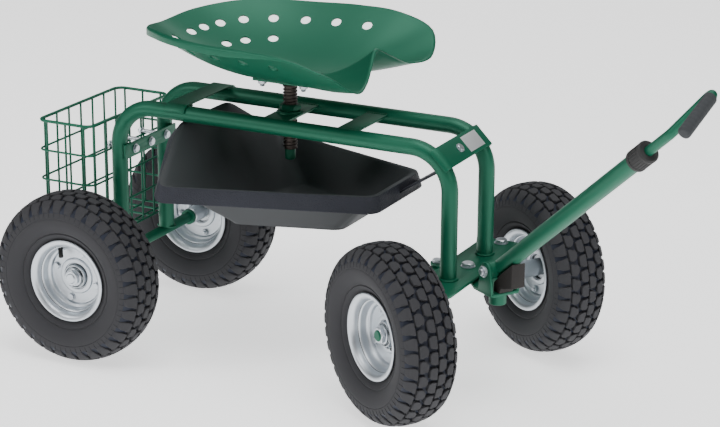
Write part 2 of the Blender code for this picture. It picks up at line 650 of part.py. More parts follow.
def add_steering(cart, green, zinc, rubber):
    """The flat arm under the front plate, with its tie rod eyes behind and the handle's ears ahead."""
    steering = pivot("steering_axis", (WHEELBASE, 0, 0), cart, (0, 0, STEER_ANGLE))
    half = ARM_WIDTH / 2
    waist = ARM_WAIST / 2
    outline = arc((-TIE_RADIUS, TIE_HALF_GAP), 0.010, pi / 2, pi, 3)
    outline += [(x, -y) for x, y in reversed(outline)]
    right = [(-0.030, -waist), (0.030, -waist), (0.052, -half), (ARM_NOSE, -half)]
    outline += right + [(x, -y) for x, y in reversed(right)]
    arm = finish("steering_arm", prism(outline, ARM_LOW, ARM_TOP), green, steering)
    join(arm, rod_solid(ARM_BOSS_RADIUS, ARM_LOW + 0.001, FRONT_PLATE_LOW - RUN, 20))
    stub_place = (HANDLE_REACH - 0.002, 0, 0)
    join(arm, rod_solid(SLEEVE_RADIUS, ARM_STUB_LOW, ARM_LOW + 0.002, 20, "Z", stub_place))
    ear_low, ear_foot, ear_radius = ARM_LOW + 0.002, 0.017, 0.0125
    inner = PIVOT_SLEEVE_LENGTH / 2 + RUN
    for side in (-1, 1):
        profile = [(HANDLE_REACH - ear_foot, ear_low), (HANDLE_REACH + ear_foot, ear_low)]
        profile += arc((HANDLE_REACH, HANDLE_PIVOT_Z), ear_radius, 0, pi, 8)
        edges = (side * inner, side * (inner + EAR_SHEET))
        join(arm, skin([[(x, y, z) for x, z in profile] for y in edges], False))
    place = (HANDLE_REACH, 0, HANDLE_PIVOT_Z)
    cut(arm, rod_solid(HANDLE_PIN_RADIUS + RUN, -0.04, 0.04, 12, "Y", place))
    cut(arm, rod_solid(BOLT_RADIUS + RUN, ARM_LOW - 0.01, FRONT_PLATE_LOW + 0.01, 16))
    for side, name in ((-1, "right"), (1, "left")):
        x, y = tie_pin(side)
        cut(arm, rod_solid(TIE_PIN_RADIUS + RUN, ARM_LOW - 0.01, ARM_TOP + 0.01, 12, "Z", (x, y, 0)))
        add_tie_bolt(f"tie_rod_inner_bolt_{name}", side, steering, zinc)
    ear = inner + EAR_SHEET + GAP
    pin = bolt(HANDLE_PIN_RADIUS, 0.0085, -ear, ear, 0.005, True, "Y", place)
    finish("handle_pivot_bolt", pin, zinc, steering)
    add_bumper(steering, rubber)
    return steering


def add_bumper(steering, rubber):
    """The rubber block on the arm's nose that the handle rests on when it is let down."""
    half = 0.0115
    low = ARM_TOP + GAP
    heel, back, front = (HANDLE_REACH + ahead for ahead in (0.004, 0.021, 0.047))

    def under_handle(x):
        rise = (x - HANDLE_REACH) * tan(HANDLE_ELEVATION)
        return HANDLE_PIVOT_Z + rise - (TUBE_RADIUS + 2 * GAP) / cos(HANDLE_ELEVATION)

    side = [(heel, low), (ARM_NOSE, low), (back, low + 0.008), (front, low + 0.015)]
    side += [(front, under_handle(front)), (back, under_handle(back)), (heel, low + 0.013)]
    block = skin([[(x, y, z) for x, z in side] for y in (-half, half)], False)
    finish("handle_bumper", block, rubber, steering)


# ---------------------------------------------------------------- handle
def add_handle(steering, green, black, foam):
    """The pulling handle. X runs up along the tube from the pivot, Y along the pivot bolt."""
    place = (HANDLE_REACH, 0, HANDLE_PIVOT_Z)
    handle = pivot("handle_axis", place, steering, (0, -HANDLE_ELEVATION, 0))
    bore = TUBE_RADIUS - HANDLE_TUBE_WALL
    start = 0.004
    tube = ring_solid(TUBE_RADIUS, bore, start, HANDLE_TUBE_END, 20, "X")
    tube = finish("handle_tube", tube, green, handle)
    half = PIVOT_SLEEVE_LENGTH / 2
    join(tube, rod_solid(SLEEVE_RADIUS, -half, half, 20, "Y"))
    cut(tube, rod_solid(HANDLE_PIN_RADIUS + RUN, -half - 0.01, half + 0.01, 12, "Y"))

    low = HANDLE_TUBE_END - COLLAR_LENGTH * 0.6
    high = low + COLLAR_LENGTH
    inner = TUBE_RADIUS + GAP
    mouth = ROD_RADIUS + RUN
    edge = 0.002
    profile = [(COLLAR_RADIUS, low), (COLLAR_RADIUS, high - edge), (COLLAR_RADIUS - edge, high)]
    profile += [(mouth, high), (mouth, HANDLE_TUBE_END + GAP)]
    profile += [(inner, HANDLE_TUBE_END + GAP), (inner, low)]
    finish("handle_collar", turned(profile, 20, True, "X"), black, handle)

    rod = pivot("handle_rod_axis", (0, 0, 0), handle, (GRIP_TWIST, 0, 0))
    corner = 0.010
    path = [(HANDLE_TUBE_END - ROD_INSERTION, 0, 0), (ROD_BEND_AT - 0.012, 0, 0), (ROD_BEND_AT, 0.0012, 0)]
    path += [(ROD_BEND_AT + 0.010, 0.0055, 0), (GRIP_AT - 0.012, GRIP_HALF - 0.0085, 0)]
    path += [(GRIP_AT - 0.004, GRIP_HALF - 0.0035, 0), (GRIP_AT, GRIP_HALF - corner, 0)]
    path += [(GRIP_AT, 0.004 - GRIP_HALF, 0)]
    finish("handle_rod", tube_along(path, ROD_RADIUS, 0, 12), green, rod)
    end = -GRIP_HALF - 0.003
    seat = 0.0035 - GRIP_HALF
    bore = ROD_RADIUS + GAP
    vent = 0.002
    sleeve = [(GRIP_RADIUS, end + GRIP_LENGTH), (bore, end + GRIP_LENGTH), (bore, seat)]
    sleeve += [(vent, seat), (vent, end), (GRIP_RADIUS - 0.003, end), (GRIP_RADIUS, end + 0.003)]
    finish("handle_grip", turned(sleeve, 16, True, "Y"), foam, rod, (GRIP_AT, 0, 0))


# ---------------------------------------------------------------- seat
SEAT_OUTLINE = (  # angle from the front in degrees, radius, height of the rim over the pan's bottom
    (0, 0.138, 0.0550),
    (12, 0.149, 0.0405),
    (24, 0.172, 0.0225),
    (36, 0.206, 0.0230),
    (48, 0.220, 0.0520),
    (62, 0.194, 0.0700),
    (80, 0.171, 0.0740),
    (105, 0.166, 0.0730),
    (140, 0.190, 0.0730),
    (162, 0.209, 0.0650),
    (180, 0.215, 0.0570),
)
SEAT_SIDES = 32


def eased(share):
    share = min(max(share, 0.0), 1.0)
    return share * share * (3 - 2 * share)


def seat_rim(turn):
    """Radius and rise of the seat's edge, on a smooth curve through the outline's stations."""
    first, last = SEAT_OUTLINE[0], SEAT_OUTLINE[-1]
    before = (2 * first[0] - SEAT_OUTLINE[1][0], *SEAT_OUTLINE[1][1:])
    after = (2 * last[0] - SEAT_OUTLINE[-2][0], *SEAT_OUTLINE[-2][1:])
    stations = [before, *SEAT_OUTLINE, after]
    angle = degrees(turn)
    i = 1
    while i < len(SEAT_OUTLINE) - 1 and stations[i + 1][0] < angle:
        i += 1
    a, b, c, d = stations[i - 1 : i + 3]
    span = c[0] - b[0]
    t = (angle - b[0]) / span
    values = []
    for k in (1, 2):
        leaving = (c[k] - a[k]) / (c[0] - a[0]) * span
        arriving = (d[k] - b[k]) / (d[0] - b[0]) * span
        curve = (2 * t**3 - 3 * t**2 + 1) * b[k] + (3 * t**2 - 2 * t**3) * c[k]
        values.append(curve + (t**3 - 2 * t**2 + t) * leaving + (t**3 - t**2) * arriving)
    return values


def seat_lip(turn):
    """How far the rolled edge hangs down: full at the back and the sides, next to nothing in front."""
    return 0.0025 + (SEAT_LIP - 0.0025) * eased((turn - radians(55)) / radians(40))


def seat_ring(share, drop=0.0, widen=0.0, lip=0.0):
    """A ring of the pan: share runs from the middle, 0, to the edge, 1; lip is the share of its drop."""
    ring = []
    for i in range(SEAT_SIDES):
        angle = 2 * pi * i / SEAT_SIDES
        turn = abs((angle + pi) % (2 * pi) - pi)
        radius, rise = seat_rim(turn)
        reach = radius * share + widen
        height = SEAT_BASE + SEAT_SHEET + rise * share**2.3 - drop - lip * seat_lip(turn)
        ring.append((reach * cos(angle), reach * sin(angle), height))
    return ring


def add_seat(cart, green, steel):
    seat = pivot("seat_axis", (SEAT_X, 0, 0), cart)
    flat = SEAT_PLATE_TOP + GAP
    flange = flat + 0.003
    top = flat + SEAT_NUT_HEIGHT
    bore = SCREW_RADIUS + RUN
    nut = [(SEAT_NUT_FLANGE, flat), (SEAT_NUT_FLANGE, flange), (SEAT_NUT_RADIUS, flange, 6)]
    nut += [(SEAT_NUT_RADIUS, top, 6), (bore, top), (bore, flat)]
    finish("seat_nut", turned(nut, 24, True), green, seat)

    spigot = 0.0060
    cap_radius = 0.0078
    profile = [(spigot, SCREW_BOTTOM - 0.012), (spigot, SCREW_BOTTOM)]
    profile += [(SCREW_RADIUS, SCREW_BOTTOM), (SCREW_RADIUS, SCREW_TOP)]
    finish("seat_screw", turned(profile, 24, False), steel, seat)
    high, low = SCREW_BOTTOM - GAP, SCREW_BOTTOM - SCREW_CAP_HEIGHT
    cap = ring_solid(cap_radius, spigot + GAP, low, high, 16)
    finish("screw_end_cap", cap, green, seat)

    low, high = SCREW_TOP + GAP, SEAT_BASE - GAP
    finish("seat_bracket", box((-0.045, -0.032, low), (0.045, 0.032, high)), green, seat)

    shares = (0.03, 0.25, 0.48, 0.68, 0.85, 1.0)
    rings = [seat_ring(share) for share in shares]
    rings += [seat_ring(1.0, 0.0, 0.0035, 0.15), seat_ring(1.0, 0.0, 0.0045, 1.0)]
    rings += [seat_ring(1.0, 0.0, 0.0045 - SEAT_SHEET, 1.0), seat_ring(1.0, SEAT_SHEET, -0.0005)]
    rings += [seat_ring(share, SEAT_SHEET) for share in reversed(shares[:-1])]
    finish("seat_pan", skin(rings, False), green, seat)


# ---------------------------------------------------------------- the whole cart
def stand_on_origin(cart):
    """Shifts the cart so that the origin is the bottom centre of its bounding box."""
    bpy.context.view_layer.update()
    graph = bpy.context.evaluated_depsgraph_get()
    points = []
    for obj in bpy.data.objects:
        if obj.type == "MESH" and not obj.hide_render:
            solid = obj.evaluated_get(graph)
            points += [solid.matrix_world @ vertex.co for vertex in solid.data.vertices]
    low = Vector([min(point[i] for point in points) for i in range(3)])
    high = Vector([max(point[i] for point in points) for i in range(3)])
    cart.location = (-(low.x + high.x) / 2, -(low.y + high.y) / 2, -low.z)


def main():
    for obj in list(bpy.data.objects):
        bpy.data.objects.remove(obj, do_unlink=True)
    green = paint("green_powder_coat", (0.0, 0.115, 0.058), 0.25)
    zinc = paint("zinc_plating", (0.62, 0.66, 0.70), 0.30, 1.0)
    steel = paint("dark_steel", (0.10, 0.09, 0.08), 0.45, 1.0)
    rubber = paint("tyre_rubber", (0.030, 0.031, 0.035), 0.75)
    black = paint("black_plastic", (0.022, 0.022, 0.025), 0.45)
    tray_plastic = paint("tray_plastic", (0.045, 0.047, 0.052), 0.50)

    cart = pivot("cart", (0, 0, 0))
    add_frame(cart, green, zinc)
    add_basket(cart, green)
    add_tray(cart, tray_plastic)
    add_front_plate(cart, green, zinc)
    add_seat(cart, green, steel)
    steering = add_steering(cart, green, zinc, rubber)
    add_handle(steering, green, black, rubber)
    materials = (rubber, zinc, black)
    for side, name in ((-1, "right"), (1, "left")):
        add_tie_rod(side, name, cart, green)
        add_wheel(f"rear_{name}", cart, (0, side * REAR_TRACK / 2, AXLE_Z), side, materials)
        knuckle = add_knuckle(side, name, cart, green, zinc)
        add_wheel(f"front_{name}", knuckle, (0, side * KINGPIN_OFFSET, AXLE_Z), side, materials)
    stand_on_origin(cart)


main()
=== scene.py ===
"""The finished look of a rolling garden work seat: powder-coated tubes on pneumatic tyres,
a pressed tractor seat on a screw post, a moulded tool tray, a wire basket and a telescopic
pulling handle that steers the front wheels.

Every piece is made in metres around the mechanical frame, and rides on one of its bodies.
"""

import json
from math import cos, degrees, pi, radians, sin

import bmesh
import bpy
from bpy.props import FloatProperty, FloatVectorProperty, IntProperty, PointerProperty
from mathutils import Matrix, Vector


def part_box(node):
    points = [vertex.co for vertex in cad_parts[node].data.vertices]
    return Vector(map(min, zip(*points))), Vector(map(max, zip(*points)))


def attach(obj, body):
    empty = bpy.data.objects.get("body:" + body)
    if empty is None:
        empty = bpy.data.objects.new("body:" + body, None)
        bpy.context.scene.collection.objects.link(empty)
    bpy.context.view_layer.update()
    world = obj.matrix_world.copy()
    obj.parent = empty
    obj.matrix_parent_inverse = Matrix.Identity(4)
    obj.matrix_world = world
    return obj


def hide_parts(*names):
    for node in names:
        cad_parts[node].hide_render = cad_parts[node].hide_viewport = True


bl_info = {
    "name": "Garden Work Seat Cart",
    "version": (1, 0, 0),
    "blender": (4, 5, 0),
    "location": "3D View > Sidebar > Garden Cart",
    "description": "Builds the finished look of a rolling garden work seat around its frame",
    "category": "Object",
}

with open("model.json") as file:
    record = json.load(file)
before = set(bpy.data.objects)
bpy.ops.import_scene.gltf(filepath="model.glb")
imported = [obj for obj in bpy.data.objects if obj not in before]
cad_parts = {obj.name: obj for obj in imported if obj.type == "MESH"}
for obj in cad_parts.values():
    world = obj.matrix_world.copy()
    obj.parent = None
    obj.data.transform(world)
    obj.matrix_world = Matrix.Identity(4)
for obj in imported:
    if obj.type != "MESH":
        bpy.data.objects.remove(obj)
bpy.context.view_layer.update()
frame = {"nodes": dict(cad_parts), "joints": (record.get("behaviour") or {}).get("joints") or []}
MILLI = 0.001
UP = Vector((0, 0, 1))
ALONG_Y = Matrix.Rotation(-pi / 2, 4, "X")  # turns a shape made up the Z axis to lie along Y
GREEN, ZINC = "green_powder_coat", "zinc_plating"
WHEELS = ("rear_right", "rear_left", "front_right", "front_left")


# ---------------------------------------------------------------- places, read from the frame
def middle(node):
    low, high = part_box(node)
    return (low + high) / 2


def joint(name):
    return next(row for row in frame["joints"] if row["name"] == name)


def axes(origin, x, y):
    """A place whose X and Y axes are given."""
    x, y = Vector(x).normalized(), Vector(y).normalized()
    turn = Matrix((x, y, x.cross(y))).transposed()
    return Matrix.Translation(origin) @ turn.to_4x4()


def aimed(origin, z):
    """A place whose Z axis points along z."""
    return Matrix.Translation(origin) @ Vector(z).to_track_quat("Z", "Y").to_matrix().to_4x4()


AXLE = middle("rear_axle")
CART = Matrix.Translation((AXLE.x, AXLE.y, 0))  # X forward of the rear axle, Y left, Z up
TO_CART = CART.inverted()
ACROSS = -Vector(joint("handle_tilt")["axis"])
AHEAD = ACROSS.cross(UP)
STEERING = axes((*joint("steering_turn")["pos_m"][:2], 0), AHEAD, ACROSS)
HANDLE = axes(joint("handle_tilt")["pos_m"], joint("handle_extend")["axis"], ACROSS)
GRIP_TWIST = radians(33.9)
ROD = HANDLE @ Matrix.Rotation(GRIP_TWIST, 4, "X")
SEAT = Matrix.Translation((*joint("seat_turn")["pos_m"][:2], 0))


def knuckle_place(side):
    return axes((*joint(f"knuckle_{side}_turn")["pos_m"][:2], 0), AHEAD, ACROSS)


def wheel_place(name):
    """Y runs outward along the axle and Z towards the valve."""
    centre = middle(f"tyre_{name}")
    outward = Vector(joint(f"wheel_{name}_spin")["axis"]).normalized()
    if outward.y * (centre.y - AXLE.y) < 0:
        outward = -outward
    valve = middle(f"valve_stem_{name}") - centre
    valve -= outward * valve.dot(outward)
    return axes(centre, outward.cross(valve), outward)


TUBE_BOX = [TO_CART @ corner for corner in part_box("frame_tube_left")]
TUBE_RADIUS = (TUBE_BOX[1].y - TUBE_BOX[0].y) / 2
TUBE_Y = (TUBE_BOX[1].y + TUBE_BOX[0].y) / 2
TUBE_TOP = TUBE_BOX[1].z - TUBE_RADIUS
REAR_LEG_X = TUBE_BOX[0].x + TUBE_RADIUS
FRONT_LEG_X = TUBE_BOX[1].x - TUBE_RADIUS
BEND_RADIUS = 0.060
PLATE_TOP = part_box("front_axle_plate")[1].z
PLATE_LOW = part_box("front_axle_plate")[0].z
ARM_TOP = 0.1685
ARM_LOW = 0.1640
HANDLE_REACH = 0.079
HANDLE_PIVOT_Z = joint("handle_tilt")["pos_m"][2]
TIE_RADIUS = 0.062
TIE_HALF_GAP = 0.013
BOLT_RADIUS = 0.0055
HUB_OUTER = 0.010
KINGPIN_OFFSET = 0.070
HEX_FLAT = cos(pi / 6)
KNUCKLE_LOW = AXLE.z - 0.022
FIT = 0.0003  # the gap a plate, a sleeve or a bolt head keeps from its neighbour
STRAP_SHEET = 0.0024
FRONT_BEND_RAISE = 0.0006
SMALL_BOLT, SMALL_HEAD = 0.0030, 0.0062


# ---------------------------------------------------------------- mesh work
def skin(mesh, rings, paint=0, loop=False, caps=True):
    """Joins rings of equally many points. The ends are capped, or the last ring meets the first."""
    rows = [[mesh.verts.new(point) for point in ring] for ring in rings]
    sides = len(rows[0])
    faces = []
    for row, after in zip(rows, rows[1:] + (rows[:1] if loop else [])):
        for i in range(sides):
            j = (i + 1) % sides
            faces.append(mesh.faces.new((row[i], row[j], after[j], after[i])))
    if caps and not loop:
        faces += [mesh.faces.new(rows[0][::-1]), mesh.faces.new(rows[-1])]
    for face in faces:
        face.material_index = paint
    return rows


def lathe(mesh, profile, place=Matrix(), sides=48, paint=0, loop=False):
    """Turns (radius, height) points round the Z axis of a place."""
    turns = [2 * pi * i / sides for i in range(sides)]
    rings = [[place @ Vector((r * cos(a), r * sin(a), h)) for a in turns] for r, h in profile]
    return skin(mesh, rings, paint, loop)


def hexagon(mesh, across, low, high, place, paint=0):
    """A hexagon nut or bolt head, whose corners are chamfered at both ends."""
    flat = across * HEX_FLAT
    edge = 0.16 * across
    stations = [(0.95 * flat, 0.95 * flat, low, low), (across, flat, low + edge, low + 0.2 * edge)]
    stations += [(across, flat, high - edge, high - 0.2 * edge), (0.95 * flat, 0.95 * flat, high, high)]
    rings = []
    for corner, side, corner_height, side_height in stations:
        ring = []
        for i in range(24):
            share = abs(i % 4 - 2) / 2  # 1 at a corner, 0 at the middle of a flat
            radius = flat / cos(share * pi / 6) if corner > side else side
            height = side_height + (corner_height - side_height) * share**2
            angle = 2 * pi * i / 24
            ring.append(place @ Vector((radius * cos(angle), radius * sin(angle), height)))
        rings.append(ring)
    skin(mesh, rings, paint)


def threaded(mesh, radius, low, high, place, paint=0, pitch=0.0011):
    """A bolt's thread, drawn as close grooves."""
    count = max(2, round((high - low) / pitch))
    step = (high - low) / count
    profile = [(0.8 * radius, low - 0.0003), (0.9 * radius, low)]
    for i in range(count):
        profile += [(radius, low + (i + 0.5) * step), (0.9 * radius, low + (i + 1) * step)]
    lathe(mesh, profile + [(0.8 * radius, high + 0.0003)], place, 20, paint)


def add_bolt(mesh, place, shank, head, low, high, head_height=0.006, nut=True, paint=0):
    """A hexagon bolt: its head on high, its nut under low."""
    washer = 0.0009
    ring = 1.12 * head
    lathe(mesh, [(ring, high), (ring, high + washer), (shank, high + washer)], place, 28, paint)
    hexagon(mesh, head, high + washer, high + head_height, place, paint)
    lathe(mesh, [(shank, low), (shank, high)], place, 20, paint)
    if nut:
        hexagon(mesh, head, low - head_height, low, place, paint)
        threaded(mesh, shank, low - head_height - 0.0026, low - head_height, place, paint)


def rounded(mesh, width, segments=2, least=radians(30)):
    """Rounds every edge that turns by more than the least angle."""
    edges = [edge for edge in mesh.edges if edge.calc_face_angle(0) > least]
    bmesh.ops.bevel(mesh, geom=edges, offset=width, segments=segments, profile=0.6, affect="EDGES")
    return mesh


def take(mesh, part, place=Matrix(), paint=0):
    """Adds a part, made in its own frame, to a mesh."""
    bmesh.ops.recalc_face_normals(part, faces=part.faces)
    for face in part.faces:
        face.material_index = paint
    carrier = bpy.data.meshes.new("carrier")
    part.to_mesh(carrier)
    part.free()
    carrier.transform(place)
    mesh.from_mesh(carrier)
    bpy.data.meshes.remove(carrier)


def slab(outline, low, high, edge=0.0007):
    """A flat plate with eased edges, from an outline in X and Y."""
    part = bmesh.new()
    skin(part, [[Vector((x, y, z)) for x, y in outline] for z in (low, high)])
    bmesh.ops.recalc_face_normals(part, faces=part.faces)
    return rounded(part, edge)


def arc(centre, radius, start, end, steps):
    angles = [start + (end - start) * i / steps for i in range(steps + 1)]
    return [(centre[0] + radius * cos(a), centre[1] + radius * sin(a)) for a in angles]


def smooth_between(stations, at, column):
    """Reads one column of a table of stations on a smooth curve through them."""
    first, last = stations[0], stations[-1]
    before = (2 * first[0] - stations[1][0], *stations[1][1:])
    after = (2 * last[0] - stations[-2][0], *stations[-2][1:])
    table = [before, *stations, after]
    i = 1
    while i < len(stations) - 1 and table[i + 1][0] < at:
        i += 1
    a, b, c, d = table[i - 1 : i + 3]
    span = c[0] - b[0]
    t = (at - b[0]) / span
    leaving = (c[column] - a[column]) / (c[0] - a[0]) * span
    arriving = (d[column] - b[column]) / (d[0] - b[0]) * span
    rise = (3 * t * t - 2 * t**3) * (c[column] - b[column]) + b[column]
    return rise + (t**3 - 2 * t * t + t) * leaving + (t**3 - t * t) * arriving


def smooth_line(points, steps=4):
    """A smooth curve through points in a plane, keeping its first and last point."""

    def between(p, q, r, s, t):
        bend, twist = 2 * p - 5 * q + 4 * r - s, 3 * q - p - 3 * r + s
        return 0.5 * (2 * q + (r - p) * t + bend * t * t + twist * t**3)

    line = []
    for i in range(len(points) - 1):
        a, b = points[max(i - 1, 0)], points[i]
        c, d = points[i + 1], points[min(i + 2, len(points) - 1)]
        for k in range(steps):
            line.append(tuple(between(*column, k / steps) for column in zip(a, b, c, d)))
    return line + [tuple(points[-1])]


def piece(name, mesh, finishes, body, replaced=(), sharp=38):
    """Turns a finished mesh into a piece that rides on a body."""
    if isinstance(mesh, bmesh.types.BMesh):
        data = bpy.data.meshes.new(name)
        bmesh.ops.remove_doubles(mesh, verts=mesh.verts, dist=1e-6)
        bmesh.ops.recalc_face_normals(mesh, faces=mesh.faces)
        mesh.to_mesh(data)
        mesh.free()
    else:
        data = mesh
        data.name = name
    data.shade_smooth()
    data.set_sharp_from_angle(angle=radians(sharp))
    paints = [face.material_index for face in data.polygons]
    data.materials.clear()  # which sets every face back to the first finish
    for finish in finishes:
        data.materials.append(bpy.data.materials[finish])
    data.polygons.foreach_set("material_index", paints)
    obj = bpy.data.objects.new(name, data)
    bpy.context.scene.collection.objects.link(obj)
    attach(obj, body)
    if replaced:
        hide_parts(*replaced)
    return obj


def painted(name, mesh, body, replaced=(), sharp=38):
    return piece(name, mesh, [GREEN], body, replaced, sharp)


def plated(name, mesh, body, replaced=()):
    return piece(name, mesh, [ZINC], body, replaced)


# ---------------------------------------------------------------- geometry node trees
def add_node(group, kind, inputs=(), **settings):
    """A node whose inputs are given by name, as values or as sockets to link."""
    made = group.nodes.new(kind)
    for name, value in settings.items():
        setattr(made, name, value)
    for name, value in dict(inputs).items():
        if isinstance(value, bpy.types.NodeSocket):
            group.links.new(value, made.inputs[name])
        else:
            made.inputs[name].default_value = value
    return made


def new_tree(name, sockets):
    group = bpy.data.node_groups.new(name, "GeometryNodeTree")
    group.interface.new_socket("Geometry", in_out="INPUT", socket_type="NodeSocketGeometry")
    for label, kind in sockets:
        group.interface.new_socket(label, in_out="INPUT", socket_type=kind)
    group.interface.new_socket("Geometry", in_out="OUTPUT", socket_type="NodeSocketGeometry")
    return group, group.nodes.new("NodeGroupInput").outputs


def end_tree(group, geometry, finish):
    """Every tree ends by realising its instances and setting its material."""
    real = add_node(group, "GeometryNodeRealizeInstances", {"Geometry": geometry})
    painted = add_node(group, "GeometryNodeSetMaterial", {"Geometry": real.outputs[0], "Material": finish})
    add_node(group, "NodeGroupOutput", {"Geometry": painted.outputs[0]})
    return group


def swept_wire_tree():
    """Sweeps a round section along every run of edges, with its corners bent to a radius."""
    sockets = [("Radius", "NodeSocketFloat"), ("Bend Radius", "NodeSocketFloat"), ("Sides", "NodeSocketInt")]
    sockets += [("Bend Steps", "NodeSocketInt"), ("Finish", "NodeSocketMaterial")]
    group, given = new_tree("Swept wire", sockets)
    path = add_node(group, "GeometryNodeMeshToCurve", {"Mesh": given["Geometry"]})
    inputs = {"Curve": path.outputs[0], "Radius": given["Bend Radius"], "Count": given["Bend Steps"]}
    bent = add_node(group, "GeometryNodeFilletCurve", inputs, mode="POLY")
    bent.inputs["Limit Radius"].default_value = True
    inputs = {"Resolution": given["Sides"], "Radius": given["Radius"]}
    section = add_node(group, "GeometryNodeCurvePrimitiveCircle", inputs)
    inputs = {"Curve": bent.outputs[0], "Profile Curve": section.outputs[0], "Fill Caps": True}
    swept = add_node(group, "GeometryNodeCurveToMesh", inputs)
    return end_tree(group, swept.outputs[0], given["Finish"])


def round_the_axle_tree():
    """Repeats a shape evenly round the Y axis."""
    group, given = new_tree("Round the axle", [("Count", "NodeSocketInt"), ("Finish", "NodeSocketMaterial")])
    points = add_node(group, "GeometryNodePoints", {"Count": given["Count"]})
    number = add_node(group, "GeometryNodeInputIndex")
    step = add_node(group, "ShaderNodeMath", operation="DIVIDE")
    step.inputs[0].default_value = 2 * pi
    group.links.new(given["Count"], step.inputs[1])
    angle = add_node(group, "ShaderNodeMath", operation="MULTIPLY")
    group.links.new(number.outputs[0], angle.inputs[0])
    group.links.new(step.outputs[0], angle.inputs[1])
    turn = add_node(group, "ShaderNodeCombineXYZ", {"Y": angle.outputs[0]})
    inputs = {"Points": points.outputs[0], "Instance": given["Geometry"], "Rotation": turn.outputs[0]}
    copies = add_node(group, "GeometryNodeInstanceOnPoints", inputs)
    return end_tree(group, copies.outputs[0], given["Finish"])


def punched_holes_tree():
    """Punches a round hole at every point of another mesh, along that point's aim."""
    sockets = [("Hole Centres", "NodeSocketObject"), ("Hole Radius", "NodeSocketFloat")]
    sockets += [("Punch Length", "NodeSocketFloat"), ("Finish", "NodeSocketMaterial")]
    group, given = new_tree("Punched holes", sockets)
    centres = add_node(group, "GeometryNodeObjectInfo", {"Object": given["Hole Centres"]})
    aim = add_node(group, "GeometryNodeInputNamedAttribute", {"Name": "aim"}, data_type="FLOAT_VECTOR")
    inputs = {"Vector": aim.outputs["Attribute"]}
    turn = add_node(group, "FunctionNodeAlignRotationToVector", inputs, axis="Z")
    inputs = {"Vertices": 36, "Radius": given["Hole Radius"], "Depth": given["Punch Length"]}
    punch = add_node(group, "GeometryNodeMeshCylinder", inputs)
    inputs = {"Points": centres.outputs["Geometry"], "Instance": punch.outputs["Mesh"]}
    inputs["Rotation"] = turn.outputs[0]
    punches = add_node(group, "GeometryNodeInstanceOnPoints", inputs)
    real = add_node(group, "GeometryNodeRealizeInstances", {"Geometry": punches.outputs[0]})
    cut = add_node(group, "GeometryNodeMeshBoolean", operation="DIFFERENCE", solver="EXACT")
    cut.inputs["Self Intersection"].default_value = True
    group.links.new(given["Geometry"], cut.inputs["Mesh 1"])
    group.links.new(real.outputs[0], cut.inputs["Mesh 2"])
    return end_tree(group, cut.outputs["Mesh"], given["Finish"])


def through_tree(tree_name, mesh, finish, **values):
    """Sends a mesh through a tree and returns the plain mesh that comes out."""
    group = bpy.data.node_groups[tree_name]
    ids = {item.name: item.identifier for item in group.interface.items_tree if item.in_out == "INPUT"}
    if isinstance(mesh, bmesh.types.BMesh):
        data = bpy.data.meshes.new(tree_name)
        mesh.to_mesh(data)
        mesh.free()
    else:
        data = mesh
    holder = bpy.data.objects.new(tree_name, data)
    modifier = holder.modifiers.new(tree_name, "NODES")
    modifier.node_group = group
    modifier[ids["Finish"]] = bpy.data.materials[finish]
    for name, value in values.items():
        modifier[ids[name.replace("_", " ").title()]] = value
    bpy.context.scene.collection.objects.link(holder)
    graph = bpy.context.evaluated_depsgraph_get()
    made = bpy.data.meshes.new_from_object(holder.evaluated_get(graph))
    bpy.data.objects.remove(holder)
    return made


def runs_of_edges(runs):
    """A mesh of edges only: each run is a list of points and whether it closes on itself."""
    mesh = bmesh.new()
    for points, closed in runs:
        verts = [mesh.verts.new(point) for point in points]
        pairs = list(zip(verts, verts[1:])) + ([(verts[-1], verts[0])] if closed else [])
        for pair in pairs:
            mesh.edges.new(pair)
    return mesh


def swept(runs, finish, radius, bend_radius, sides=12, bend_steps=6):
    values = {"radius": radius, "bend_radius": bend_radius, "sides": sides, "bend_steps": bend_steps}
    return through_tree("Swept wire", runs_of_edges(runs), finish, **values)


def absorb(mesh, data, paint=0):
    """Adds a plain mesh to a mesh in the making."""
    for polygon in data.polygons:
        polygon.material_index = paint
    mesh.from_mesh(data)
    bpy.data.meshes.remove(data)


# ---------------------------------------------------------------- finishes
def new_effect(name, inputs, outputs):
    group = bpy.data.node_groups.new(name, "ShaderNodeTree")
    for label, kind in inputs:
        group.interface.new_socket(label, in_out="INPUT", socket_type=kind)
    for label, kind in outputs:
        group.interface.new_socket(label, in_out="OUTPUT", socket_type=kind)
    return group, group.nodes.new("NodeGroupInput").outputs


def wander(group, scale, detail, low, high):
    """Soft clouds over the surface, spread between two values."""
    where = add_node(group, "ShaderNodeTexCoord")
    inputs = {"Vector": where.outputs["Object"], "Scale": scale, "Detail": detail}
    clouds = add_node(group, "ShaderNodeTexNoise", inputs)
    inputs = {"Value": clouds.outputs[0], "From Min": 0.3, "From Max": 0.7, "To Min": low, "To Max": high}
    return add_node(group, "ShaderNodeMapRange", inputs).outputs[0]


def colour_drift_effect():
    """A colour that grows slightly lighter and darker in soft clouds over the surface."""
    inputs = [("Colour", "NodeSocketColor"), ("Cloud Scale", "NodeSocketFloat"), ("Amount", "NodeSocketFloat")]
    group, given = new_effect("Colour drift", inputs, [("Colour", "NodeSocketColor")])
    limits = []
    for operation in ("SUBTRACT", "ADD"):
        limit = add_node(group, "ShaderNodeMath", operation=operation)
        limit.inputs[0].default_value = 1.0
        group.links.new(given["Amount"], limit.inputs[1])
        limits.append(limit.outputs[0])
    scaled = add_node(group, "ShaderNodeVectorMath", operation="SCALE")
    group.links.new(given["Colour"], scaled.inputs[0])
    group.links.new(wander(group, given["Cloud Scale"], 4.0, *limits), scaled.inputs["Scale"])
    add_node(group, "NodeGroupOutput", {"Colour": scaled.outputs[0]})


